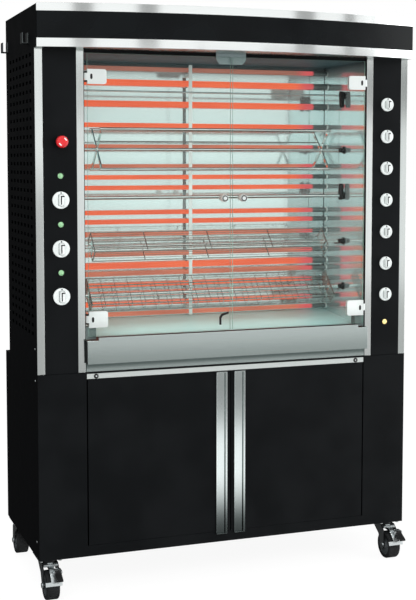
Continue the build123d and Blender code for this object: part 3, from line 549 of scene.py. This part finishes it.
def add_studio():
    """The world: white to the camera, plain soft light to matt surfaces, and to metal and glass a
    white studio with soft grey gaps between its panels, by direction."""
    world = bpy.data.worlds.new("studio")
    bpy.context.scene.world = world
    world.use_nodes = True
    tree = world.node_tree
    tree.nodes.clear()
    way = Wire(tree.nodes.new("ShaderNodeTexCoord").outputs["Generated"])
    east, north, up = way.axis("X"), way.axis("Y"), way.axis("Z")
    degrees = 180 / math.pi
    azimuth = east.math("ARCTAN2", north * -1.0) * degrees
    height = up.math("ARCSINE") * degrees
    # High up, narrow gaps between the panels cross the canopy's bright strips
    gaps = azimuth.band(-9.6, -6.6, 0.5) + azimuth.band(2.2, 5.0, 0.8) + azimuth.band(31.9, 35.4, 0.5)
    gaps = gaps + azimuth.band(42.0, 44.0, 0.3) + azimuth.band(48.1, 49.7, 0.3)
    above = height.ramp(4.6, 5.6)
    # Lower down, the panels' lower edges shade the posts' strips, the pulls and the cavity
    inside = azimuth.band(14.2, 25.0, 0.5)
    lift = inside * height.ramp(-8.2, -7.2) + (1.0 - inside) * height.ramp(-6.6, -5.2)
    level = height.ramp(-10.5, -9.0, 0.36, 0.55) + lift * 0.40
    level = level - height.band(2.4, 4.6, 0.6) * (0.6 - inside * 0.52)
    below = height.band(-15.6, -13.4, 1.8) * 0.7 - height.ramp(-18.2, -16.8, 0.34, 0.0)
    edge = azimuth.ramp(12.3, 13.1)
    beside = height.ramp(-2.5, 0.8, 0.45, 1.0)
    level = edge * (level + below) + (1.0 - edge) * beside
    high = 1.0 - gaps * 0.62
    wall = above * high + (1.0 - above) * level
    behind = azimuth.math("ABSOLUTE").ramp(75, 110, 1.0, 0.08)
    right_panel = azimuth.band(55.0, 78.0, 9.0) * 2.4
    mirror_light = wall * behind + right_panel
    path = tree.nodes.new("ShaderNodeLightPath")
    seen, glossy, through = (Wire(path.outputs[name])
                             for name in ("Is Camera Ray", "Is Glossy Ray", "Is Transmission Ray"))
    plain = 0.62 + up * 0.22
    strength = glossy * mirror_light + (1.0 - glossy) * plain
    white = seen.math("MAXIMUM", through)
    strength = white + (1.0 - white) * strength
    colour = white.between((0.985, 1.0, 0.995, 1), (1.0, 1.0, 1.0, 1))
    light = strength.node("ShaderNodeBackground", None, {"Color": colour, "Strength": strength})
    result = tree.nodes.new("ShaderNodeOutputWorld")
    tree.links.new(light.socket, result.inputs["Surface"])


def add_floor():
    """A wide white floor that keeps a faint shadow of the object."""
    half = 30.0
    mesh = bpy.data.meshes.new("floor")
    sheet_corners = [(-half, -half, 0), (half, -half, 0), (half, half, 0), (-half, half, 0)]
    mesh.from_pydata(sheet_corners, [], [(0, 1, 2, 3)])

    def surface(place):
        paint = place.noise(3).ramp(0.3, 0.7).between((0.93, 0.93, 0.93, 1), (0.95, 0.95, 0.95, 1))
        matt = place.node("ShaderNodeBsdfDiffuse", None, {"Color": paint})
        white = place.node("ShaderNodeEmission", None, {"Color": (1, 1, 1, 1), "Strength": 1.07})
        path = place.node("ShaderNodeLightPath")
        seen = path.math("MULTIPLY", 0.86)
        return place.node("ShaderNodeMixShader", None, {0: seen, 1: matt, 2: white})

    mesh.materials.append(finish("white_floor", surface))
    floor = bpy.data.objects.new("floor", mesh)
    bpy.context.scene.collection.objects.link(floor)
    floor.visible_glossy = False


add_camera()
add_studio()
add_floor()
add_lamp("key_light", (3.0, 2.4), 150, (-2.2, -4.6, 3.6), (0, 0, 1.1))
add_lamp("cavity_light", (1.0, 0.84), 3.2, (0, front + 0.004, 1.36), (0, front + 0.4, 1.33),
         (0.95, 1.0, 0.98))
add_lamp("slope_light", (0.9, 0.12), 0.9, (0, front + 0.01, 1.08), (0, front + 0.2, 0.93),
         (0.9, 1.0, 1.0))
add_lamp("fill_light", (2.4, 3.0), 60, (3.6, -3.4, 2.2), (0, 0, 1.0))
bpy.context.scene.view_settings.view_transform = "Standard"


# Cabinet panels

softened("base_pan", "base_floor", black_coat, 0.5)
# The side sheets' sideways faces and the vented side panels take the painted side shade coat.
softened("base_side_sheets", "base_sides", [black_coat, painted_side_shade_coat], 0.6,
         part=lambda place, normal: abs(normal[0]) > 0.7)
softened("base_back_sheet", "base_back_panel", black_coat, 0.5)
softened("base_front_strip", "front_strip", strip_steel, 0.8)
softened("vented_side_panels", "side_panels", painted_side_shade_coat, 0.5)
softened("control_fascias", "control_panels", black_coat, 0.5)
softened("post_edge_strips", "post_trims", post_steel, 0.8)
softened("rear_cover", "rear_panel", black_coat, 0.5)
softened("cavity_walls", "cavity_side_walls", [wall_steel, galvanised], 0.4,
         part=lambda place, normal: abs(place[0]) > 521.5 and normal[1] > -0.5)
softened("cavity_lining", "cavity_liner", [wall_steel, black_coat, ceiling_grey], 0.4,
         part=lambda place, normal: 2 if normal[2] < -0.7 else place[2] > 1844.5 or normal[1] > 0.7)
softened("cavity_slope", "cavity_floor", floor_steel, 0.5)
softened("canopy_hooks", "side_hooks", hook_steel, 0.9)
softened("gland", "cable_gland", black_plastic, 0.6)


# Canopy: the bowed front band between two bright strips

canopy_low, canopy_high = corners("canopy_trims")
canopy_half = canopy_high[0]
canopy_end = corners("canopy_shell")[1][1]
bow_ends = 85.0
canopy_reach = -canopy_low[1]
bow_radius = (canopy_half**2 + bow_ends**2) / (2 * bow_ends)
strip_inset = 2.0
sheet = 2.0
lower_strip_height = 28.5
upper_strip_height = 27.0


def bow(side, inset):
    """Points along the bow from one end to the other: y = centre - sqrt((radius - inset)^2 - x^2)."""
    x = np.linspace(-side, side, 97)
    y = bow_radius - canopy_reach - np.sqrt((bow_radius - inset) ** 2 - x**2)
    return np.stack([x, y], axis=1)


def bowed_wall(side, outer, inner, low, high):
    """An upright strip bent along the bow."""
    return prism(np.vstack([bow(side, outer), bow(side, inner)[::-1]]), low, high, "z")


def bowed_plate(side, back, inset, low, high):
    """A level plate with a bowed front."""
    return prism(np.vstack([bow(side, inset), [(side, back), (-side, back)]]), low, high, "z")


def canopy():
    """The canopy's black shell: lid, ends, back and bowed front, and the grey sheet under it."""
    lid_top = canopy_high[2] - 3
    side = canopy_half - sheet
    inside = strip_inset + sheet
    corner_y = bow(canopy_half, strip_inset)[0, 1]
    end = slab(side, canopy_half, corner_y, canopy_end, canopy_low[2], lid_top)
    shapes = [bowed_plate(side, canopy_end - sheet, inside, lid_top - sheet, lid_top),
              slab(-side, side, canopy_end - sheet, canopy_end, canopy_low[2], lid_top)]
    front_wall = bowed_wall(side, strip_inset, inside, canopy_low[2], lid_top)
    soffit = bowed_plate(side, 5, inside, canopy_low[2], canopy_low[2] + sheet)
    # The canopy's ends take the painted side shade coat.
    build("canopy_shell_sheets", "cabinet",
          {canopy_coat: [front_wall] + shapes, painted_side_shade_coat: on_both_sides([end]), tray_steel: [soffit]},
          ["canopy_shell"], bevel=0.5)
    build("canopy_bright_strips", "cabinet", {trim_steel: [
        bowed_wall(canopy_half, 0, strip_inset, canopy_low[2], canopy_low[2] + lower_strip_height),
        bowed_wall(canopy_half, 0, strip_inset, canopy_high[2] - upper_strip_height, canopy_high[2])]},
        ["canopy_trims"], bevel=0.6)


canopy()


# Doors, drawer and their fittings

pane_faces = [door_glass, glass_edge]
for side in ("left", "right"):
    softened(f"{side}_pane", f"{side}_glass", pane_faces, 0.8,
             part=lambda place, normal: abs(normal[1]) < 0.7)
    softened(f"{side}_cupboard_door", f"{side}_base_door", black_coat, 0.6)
    softened(f"{side}_pull", f"{side}_door_handle", handle_steel, 0.5)


def drawer_painted_shade_faces(place, normal):
    """Whether a face is one of the drawer front's ends or its top fold, which are painted black as shade in the
    gaps beside and above it.
    """
    return place[1] < 0.5 and (abs(normal[0]) > 0.7 or (normal[2] > 0.7 and place[2] > 890))


softened("drip_drawer", "drip_tray", [tray_front, black_coat], 1.2, 3, drawer_painted_shade_faces)
softened("stops", "door_stops", [stop_grey, catch_steel], 0.6,
         part=lambda place, normal: abs(place[0]) < 100)


# Screws, switches, lamps and the knobs on the two posts

screw_high = corners("panel_screws")[1]
dome_high = 1.8
strip_screw_side, strip_screw_z = 487, 759.5


def dome(radius, high, place, outward):
    """A screw's head: radius * cos a wide where it is high * sin a tall."""
    turn = np.linspace(0, np.pi / 2 - 0.12, 7)
    profile = np.stack([high * np.sin(turn), radius * np.cos(turn)], axis=1)
    return turned([(-1.5, radius)] + profile.tolist(), place, outward, 24)


def screws():
    """Two domed screws in black cups on the strip, and small ones on the sides and the back."""
    small = [dome(4, dome_high, (screw_high[0] - dome_high, 38, z), (1, 0, 0)) for z in (198, 749, 856)]
    rear = screw_high[1] - dome_high
    small += [dome(4, dome_high, (640, rear, z), (0, 1, 0)) for z in (860, 1320, 1780)]
    place = (strip_screw_side, 0, strip_screw_z)
    cup = turned([(-1, 8.3), (1.4, 8.1), (2.0, 7.4), (1.6, 3.6), (0.6, 3.2)], place)
    bright = dome(3.3, 3.0, place, (0, -1, 0))
    build("screw_heads", "cabinet",
          {lever_plastic: on_both_sides([cup]), zinc: on_both_sides([bright] + small)},
          ["panel_screws"])


screws()
softened("switch_cases", "switch_bodies", black_plastic, 0.8)
softened("gear_motors", "spit_motors", motor_grey, 1.0)
softened("shaft_bushes", "spit_bearings", [bronze, lever_plastic], 0.6,
         part=lambda place, normal: abs(place[0]) < 521.5)
softened("hinge_lugs", "hinge_pins", lever_plastic, 0.5)
softened("element_strap", "element_supports", [fitting_steel, galvanised], 0.4,
         part=lambda place, normal: normal[1] > 0.5)

lamp_side = 604.25


def lamp(side, z):
    """A signal lamp: its rim, and its lens bulging by depth = 6 * cos(pi / 2 * radius / 9.4)."""
    rim = turned([(-1, 10.4), (1.4, 11), (1.9, 10.4), (1.5, 9.3), (-1, 9.3)], (side, 0, z), loop=True)
    radius = np.linspace(9.4, 0.6, 9)
    bulge = np.stack([1.0 + 6 * np.cos(np.pi / 2 * radius / 9.4), radius], axis=1)
    glass = turned([(-1, 9.4)] + bulge.tolist(), (side, 0, z))
    shank = rod(7.9, (side, 1, z), (side, 32, z), 24, 1)
    return rim, shank, glass


green = [lamp(-lamp_side, z) for z in (1435, 1274, 1113.5)]
amber = lamp(lamp_side, 896)
build("signal_lamp_lenses", "cabinet", {
    black_plastic: [part for one in green + [amber] for part in one[:2]],
    green_lens: [one[2] for one in green], amber_lens: [amber[2]]}, ["signal_lamps"])


def knob(node, radius, top_shade_reach):
    """A white knob: a dished disc with a rolled rim, and a grip that narrows towards its front."""
    x, _, z = middle(node)
    disc = turned([(0, radius - 1), (0.8, radius), (5.6, radius), (6.9, radius - 0.5), (7.7, radius - 1.5),
                   (8, radius - 3), (7.7, radius - 6), (7.2, radius - 11)], (x, -1, z), sides=64)
    shaft = rod(3, (x, -1, z), (x, 28, z))
    long, half = 0.7 * radius, 8.25
    outline = rounded([(-half, -long), (half, -long), (half, long), (-half, long)], 6)
    levels = [(-7.5, 1.0), (-12.0, 0.99), (-20.5, 0.92), (-22.2, 0.89), (-22.9, 0.84), (-23.0, 0.78)]
    grip = skin(np.stack([np.insert(outline * size + (x, z), 1, y, axis=1) for y, size in levels]))
    top = z + 0.52 * radius
    # Painted shade: a black L on the grip's face for the shade on its left flank and its top end.
    line = slab(x - 4.4, x - 0.6, -23.4, -22.6, z - 0.5 * radius, top)
    painted_top_shade = slab(x - 0.6, x + top_shade_reach, -23.4, -22.6, top - 3.8, top)
    # Painted shadow: a grey ring round the grip's foot.
    foot = rounded([(-10, -long - 1.5), (10, -long - 1.5), (10, long + 1.5), (-10, long + 1.5)], 7)
    painted_shadow_ring = prism(foot + (x, z), -8.5, -7.4, "y")
    dot_z = z + 0.84 * radius
    dot = rod(2.4, (x, -8.6, dot_z), (x, -9.35, dot_z), 20, 0.2)
    build(f"{node}_cap", body_of(node), {
        knob_white: [disc, grip, shaft], black_plastic: [line, painted_top_shade, dot], knob_painted_shadow_grey: [painted_shadow_ring]},
          [node])


for number in range(1, 8):
    knob(f"right_knob_{number}", 24.0, 5.5)
for number in range(1, 4):
    knob(f"left_knob_{number}", 28.5, 8.5)


def stop_button():
    """The emergency stop's mushroom: a rounded, slightly dished head with two white curved ridges on its face,
    painted highlights in the shape of release arrows.
    """
    x, _, z = middle("emergency_stop")
    low, high = corners("emergency_stop")
    top = low[1]
    base = top + 22
    turn = np.linspace(0, np.pi / 2, 8)
    shoulder = np.stack([14 + 8 * np.sin(turn), 12 + 8 * np.cos(turn)], axis=1)
    profile = [(0, 17), (1, 19.2), (4, 20), (12, 20)] + shoulder.tolist() + [(21.4, 9), (21.0, 4)]
    head = turned(profile, (x, base, z), sides=64)
    stem = rod(6, (x, base, z), (x, high[1], z))
    painted_highlight_arcs = []
    # Painted highlight: two white curves where light glints on the head.
    for first, last in ((22, 72), (200, 250)):
        angle = np.radians(np.linspace(first, last, 14))
        path = np.stack([x + 12.5 * np.sin(angle), np.full(14, top + 0.05), z + 12.5 * np.cos(angle)],
                        axis=1)
        painted_highlight_arcs.append(swept([(-2, -0.3), (2, -0.3), (2, 0.3), (-2, 0.3)], path, (0, -1, 0)))
    build("stop_mushroom", "emergency_stop", {stop_red: [head], knob_white: painted_highlight_arcs, black_plastic: [stem]},
          ["emergency_stop"])


stop_button()


# Heating tubes: rods with a collar inside each wall and a stud at each end

tube_depth = 330.0
tube_end = 543.0
hot_tubes = [(1769, 11), (1692, 11), (1615, 8), (1425, 8), (1386.5, 8), (1296, 8), (1262, 8), (1101, 11),
             (1029, 8), (996, 8), (960, 8)]
warm_tubes = [(1537, 8), (1465, 8), (1217.5, 8), (1143, 8), (1072, 8), (923, 8)]
dim_tubes = [(1819, 8)]


def tube(z, radius):
    """One element's sheath, its two collars against the cavity's walls and its two studs."""
    sheath = rod(radius, (-tube_end, tube_depth, z), (tube_end, tube_depth, z), 32, 1)
    ends = [rod(radius + 3, (518, tube_depth, z), (521, tube_depth, z), 32, 0.5),
            rod(2.5, (tube_end, tube_depth, z), (tube_end + 12, tube_depth, z), 16)]
    return sheath, on_both_sides(ends)


def bank(name, heights, glow):
    """Tubes that glow alike, with their collars and studs."""
    pieces = [tube(z, radius) for z, radius in heights]
    build(name, "cabinet", {glow: [piece[0] for piece in pieces],
                            fitting_steel: [end for piece in pieces for end in piece[1]]},
          ["heating_tubes"])


bank("hot_tubes", hot_tubes, hot_tube)
bank("warm_tubes", warm_tubes, warm_tube)
bank("dim_tubes", dim_tubes, dim_tube)


# Door fittings: clamping plates with a dark slot, knuckles, knobs with a black ring that is a painted reflection,
# and the left door's hook

def is_hook(place, normal):
    """Whether a face belongs to the small bent hook on the left door."""
    return -47 < place[0] < -11 and 914 < place[2] < 961


def clamp_slot(sign, z):
    """A clamp's dark slot: x = 4 * cos a, and z = 9 * sqrt(sin a) with its sign kept."""
    turn = np.linspace(0, 2 * np.pi, 24, endpoint=False)
    rise = np.sign(np.sin(turn)) * np.sqrt(abs(np.sin(turn)))
    return prism(np.stack([sign * (499 + 4 * np.cos(turn)), z + 9 * rise], axis=1), -9.25, -8.6, "y")


for side, sign in (("left", -1), ("right", 1)):
    softened(f"{side}_clamps", f"{side}_door_fittings", [fitting_steel, lever_plastic],
             0.7, part=is_hook)
    slots = [clamp_slot(sign, z) for z in (1763.5, 952.5)]
    # Painted reflection: a black ring on the chrome knob's face, for the dark band it mirrors.
    ring = turned([(-0.3, 6.8), (0.3, 7.0), (0.3, 10.4), (-0.3, 10.6)], (35 * sign, -36, 1356), loop=True)
    build(f"{side}_clamp_slots", f"{side}_glass_door", {lever_plastic: slots + [ring]},
          [f"{side}_door_fittings"])


# Spits: each lies along X on its own axis

spit_depth = 175.0
journal_left, shaft_left = -522.0, -505.0
lever_left, lever_right, journal_right = 501.0, 516.0, 543.0
journal_radius = 5


def joint_place(name):
    """A joint's place in millimetres, with y as depth behind the posts."""
    joint = next(joint for joint in frame["joints"] if joint["name"] == name)
    return (np.array(joint["pos_m"]) - (0, front, 0)) / MM


def spit_height(number):
    """The height of a spit's axis, from its joint."""
    return joint_place(f"spit_{number}_turn")[2]


def journals(z):
    """The thinner ends of a shaft, in their bushes."""
    return [rod(journal_radius, (journal_left, spit_depth, z), (shaft_left, spit_depth, z)),
            rod(journal_radius, (lever_left, spit_depth, z), (journal_right, spit_depth, z), 24, 0.8)]


def shaft(radius, z):
    """A shaft with a thinner journal at each end."""
    return [rod(radius, (shaft_left, spit_depth, z), (lever_left, spit_depth, z), 24, 0.5)] + journals(z)


def lever(z, angle):
    """The moulded hand lever: outline = the hull of a round boss and a rounder, smaller tip."""
    around = np.linspace(np.pi / 2, 3 * np.pi / 2, 13)
    boss = np.stack([-7 + 9 * np.cos(around), 9 * np.sin(around)], axis=1)
    tip = np.stack([37.5 - 7.5 * np.cos(around), -7.5 * np.sin(around)], axis=1)
    outline = np.vstack([boss, tip])
    levels = [(lever_left, 0.9), (lever_left + 0.6, 0.97), (lever_left + 1.8, 1.0),
              (lever_right - 1.8, 1.0), (lever_right - 0.6, 0.97), (lever_right, 0.9)]
    centre = np.array((15.25, 0))
    rows = np.stack([np.insert((outline - centre) * size + centre + (spit_depth, z), 0, x, axis=1)
                     for x, size in levels])
    return turned_about(skin(rows), angle, (0, spit_depth, z))


def about(shapes, angle, z):
    """Shapes turned about a spit's axis."""
    return [turned_about(shape, angle, (0, spit_depth, z)) for shape in shapes]


def spit(number, name, angle, shapes, wires=()):
    """One spit with its lever."""
    z = spit_height(number)
    members = {spit_steel: shapes, lever_plastic: [lever(z, angle)]}
    if wires:
        members[wire_steel] = list(wires)
    build(f"spit_{number}_{name}_dressed", f"spit_{number}", members, [f"spit_{number}_{name}"])


spit(1, "rod", -95, shaft(3, spit_height(1)))


def cradle():
    """Two crosses that carry four bars and one thin rail."""
    z = spit_height(2)
    reach, bar = 98.0, 5.5
    shapes = shaft(5.5, z)
    for x in (-437, 421):
        for angle in (45, -45):
            outline = rounded([(x, -reach), (x + 4, -reach), (x + 4, reach), (x, reach)], 1.2, 2)
            arm = prism(outline + (0, spit_depth), z - 6, z + 6, "z")
            shapes += about([arm], angle, z)
        shapes.append(rod(10, (x - 2, spit_depth, z), (x + 6, spit_depth, z), 24, 1))
    for turn in (45, 135, 225, 315):
        y = spit_depth + reach * math.cos(math.radians(turn))
        high = z + reach * math.sin(math.radians(turn))
        shapes.append(rod(bar, (-443, y, high), (431, y, high), 20, 1.5))
    rail = rod(2.2, (-436, spit_depth + 26, z + 28), (424, spit_depth + 26, z + 28), 12)
    spit(2, "cradle", 0, shapes, [rail])


def spear():
    """A thick rod, polished, that narrows to its point."""
    z = spit_height(3)
    long = lever_left - shaft_left
    profile = [(0, 5), (35, 6.5), (long - 0.5, 6.5), (long, 6)]
    spear_rod = turned(profile, (shaft_left, spit_depth, z), (1, 0, 0), 32)
    spit(3, "spear", 92, [spear_rod] + journals(z))


def grid(x_places, y_places, level, z, long_radius, cross_radius):
    """Crossing wires in one plane: long ones at each y, cross ones laid against them at each x."""
    left, right, near, far = x_places[0], x_places[-1], y_places[0], y_places[-1]
    edge = max(long_radius, cross_radius)
    wires = [rod(long_radius if 0 < number < len(y_places) - 1 else edge,
                 (left, spit_depth + y, z + level), (right, spit_depth + y, z + level), 8)
             for number, y in enumerate(y_places)]
    wires += [rod(cross_radius, (x, spit_depth + near, z + level), (x, spit_depth + far, z + level), 8)
              for x in x_places]
    return wires


basket_tilt = 46.0


def flat_basket():
    """Two grids of wires, face to face, joined by a plate at each end."""
    z = spit_height(4)
    half_wide, half_deep = 44, 25
    x_places = [-455.5, -263, -24, 213, 435.5]
    y_places = np.linspace(-half_wide, half_wide, 9)
    wires = []
    for level in (-half_deep, half_deep):
        wires += grid(x_places, y_places, level, z, 0.9, 1.8)
    for x in (x_places[0], x_places[-1]):
        wires += [rod(2.0, (x, spit_depth + y, z - half_deep), (x, spit_depth + y, z + half_deep), 8)
                  for y in (-half_wide, half_wide)]
    plates = [slab(x, x + 4, spit_depth - 15, spit_depth + 15, z - 23, z + 23) for x in (-457, 433)]
    spit(4, "flat_basket", -8, shaft(5.5, z) + about(plates, basket_tilt, z), about(wires, basket_tilt, z))


def mesh_basket():
    """A long box of net, open along its back edge, on a central tube."""
    z = spit_height(5)
    half_wide, half_deep = 58.5, 20.5
    near, far = spit_depth - half_wide, spit_depth + half_wide
    low, high = z - half_deep, z + half_deep
    x_places = np.linspace(-469, 459, 20)
    y_places = np.linspace(-half_wide, half_wide, 11)
    wires = []
    for level in (-half_deep, half_deep):
        wires += grid(x_places, y_places, level, z, 0.75, 1.1)
        for y in (near, far):
            wires.append(rod(2.0, (-470, y, z + level), (460, y, z + level), 10))
    wires += [rod(1.25, (x, near, low), (x, near, high), 8) for x in x_places]
    for level in (-10, 0, 10):
        wires.append(rod(0.75, (-469, near, z + level), (459, near, z + level), 8))
    for x in (-468, 458):
        wires += [rod(1.25, (x, spit_depth + y, low), (x, spit_depth + y, high), 8) for y in y_places]
        wires += [rod(1.25 if abs(level) < 20 else 2.4, (x, near, z + level), (x, far, z + level), 8)
                  for level in (-half_deep, -10, 0, 10, half_deep)]
    hubs = [rod(13, (x, spit_depth, z), (x + 2.5, spit_depth, z), 32, 0.5) for x in (-470, 457.5)]
    spit(5, "mesh_basket", -8, shaft(7, z) + hubs, about(wires, basket_tilt, z))


cradle()
spear()
flat_basket()
mesh_basket()


# Casters

def wheel(end, hand):
    """A solid tyre with ribs across its tread: radius = 50 - 0.5 * (1 + sign(cos(40 a)))."""
    x, y, z = joint_place(f"roll_{end}_{hand}")
    sides, half, bead = 160, 22.5, 37.3
    angle = np.linspace(0, 2 * np.pi, sides, endpoint=False)
    rib = 0.5 * (1 + np.sign(np.cos(40 * angle)))
    shoulder = np.linspace(0, np.pi / 2, 5)
    side = np.stack([-half + 6 * (1 - np.cos(shoulder)), 44 + 6 * np.sin(shoulder)], axis=1)
    profile = np.vstack([[(-half, bead)], side, side[::-1] * (-1, 1), [(half, bead)]])
    rows = []
    for along, radius in profile:
        cut = np.where(radius > 49, radius - rib, radius)
        rows.append(np.stack([np.full(sides, x + along), y + cut * np.cos(angle),
                              z + cut * np.sin(angle)], axis=1))
    tyre = skin(np.array(rows), loop=True)
    web = [(-19.5, bead), (-19.5, 34), (-14, 31), (-14, 16), (-half, 13), (-half, 6.05), (half, 6.05),
           (half, 13), (14, 16), (14, 31), (19.5, 34), (19.5, bead)]
    rim = turned(web, (x, y, z), (1, 0, 0), 64, loop=True)
    node = f"caster_wheel_{end}_{hand}"
    build(f"{node}_dressed", body_of(node), {rubber: [tyre], rim_grey: [rim]}, [node],
          sharp=30)


def caster_finish(end, hand):
    """A test that picks the plated strap and axle out of a fork: all but its crown and legs."""
    x, y, z = joint_place(f"roll_{end}_{hand}")

    def plated(place, normal):
        away = abs(place[0] - x)
        from_axle = math.hypot(place[1] - y, place[2] - z)
        in_strap = end == "front" and from_axle > 53.5 and (
            place[1] < y - 14 or (away < 24.3 and place[1] < y + 11.8))
        return in_strap or away > 28.6 or from_axle < 6.5
    return plated


for end in ("front", "back"):
    for hand in ("left", "right"):
        wheel(end, hand)
        softened(f"fork_{end}_{hand}_dressed", f"caster_fork_{end}_{hand}", [fork_black, zinc],
                 0.8, part=caster_finish(end, hand))
        if end == "front":
            softened(f"pedal_{hand}_dressed", f"brake_pedal_{end}_{hand}", lever_plastic,
                     1.0)
softened("caster_mounts", "caster_plates", zinc, 0.6)
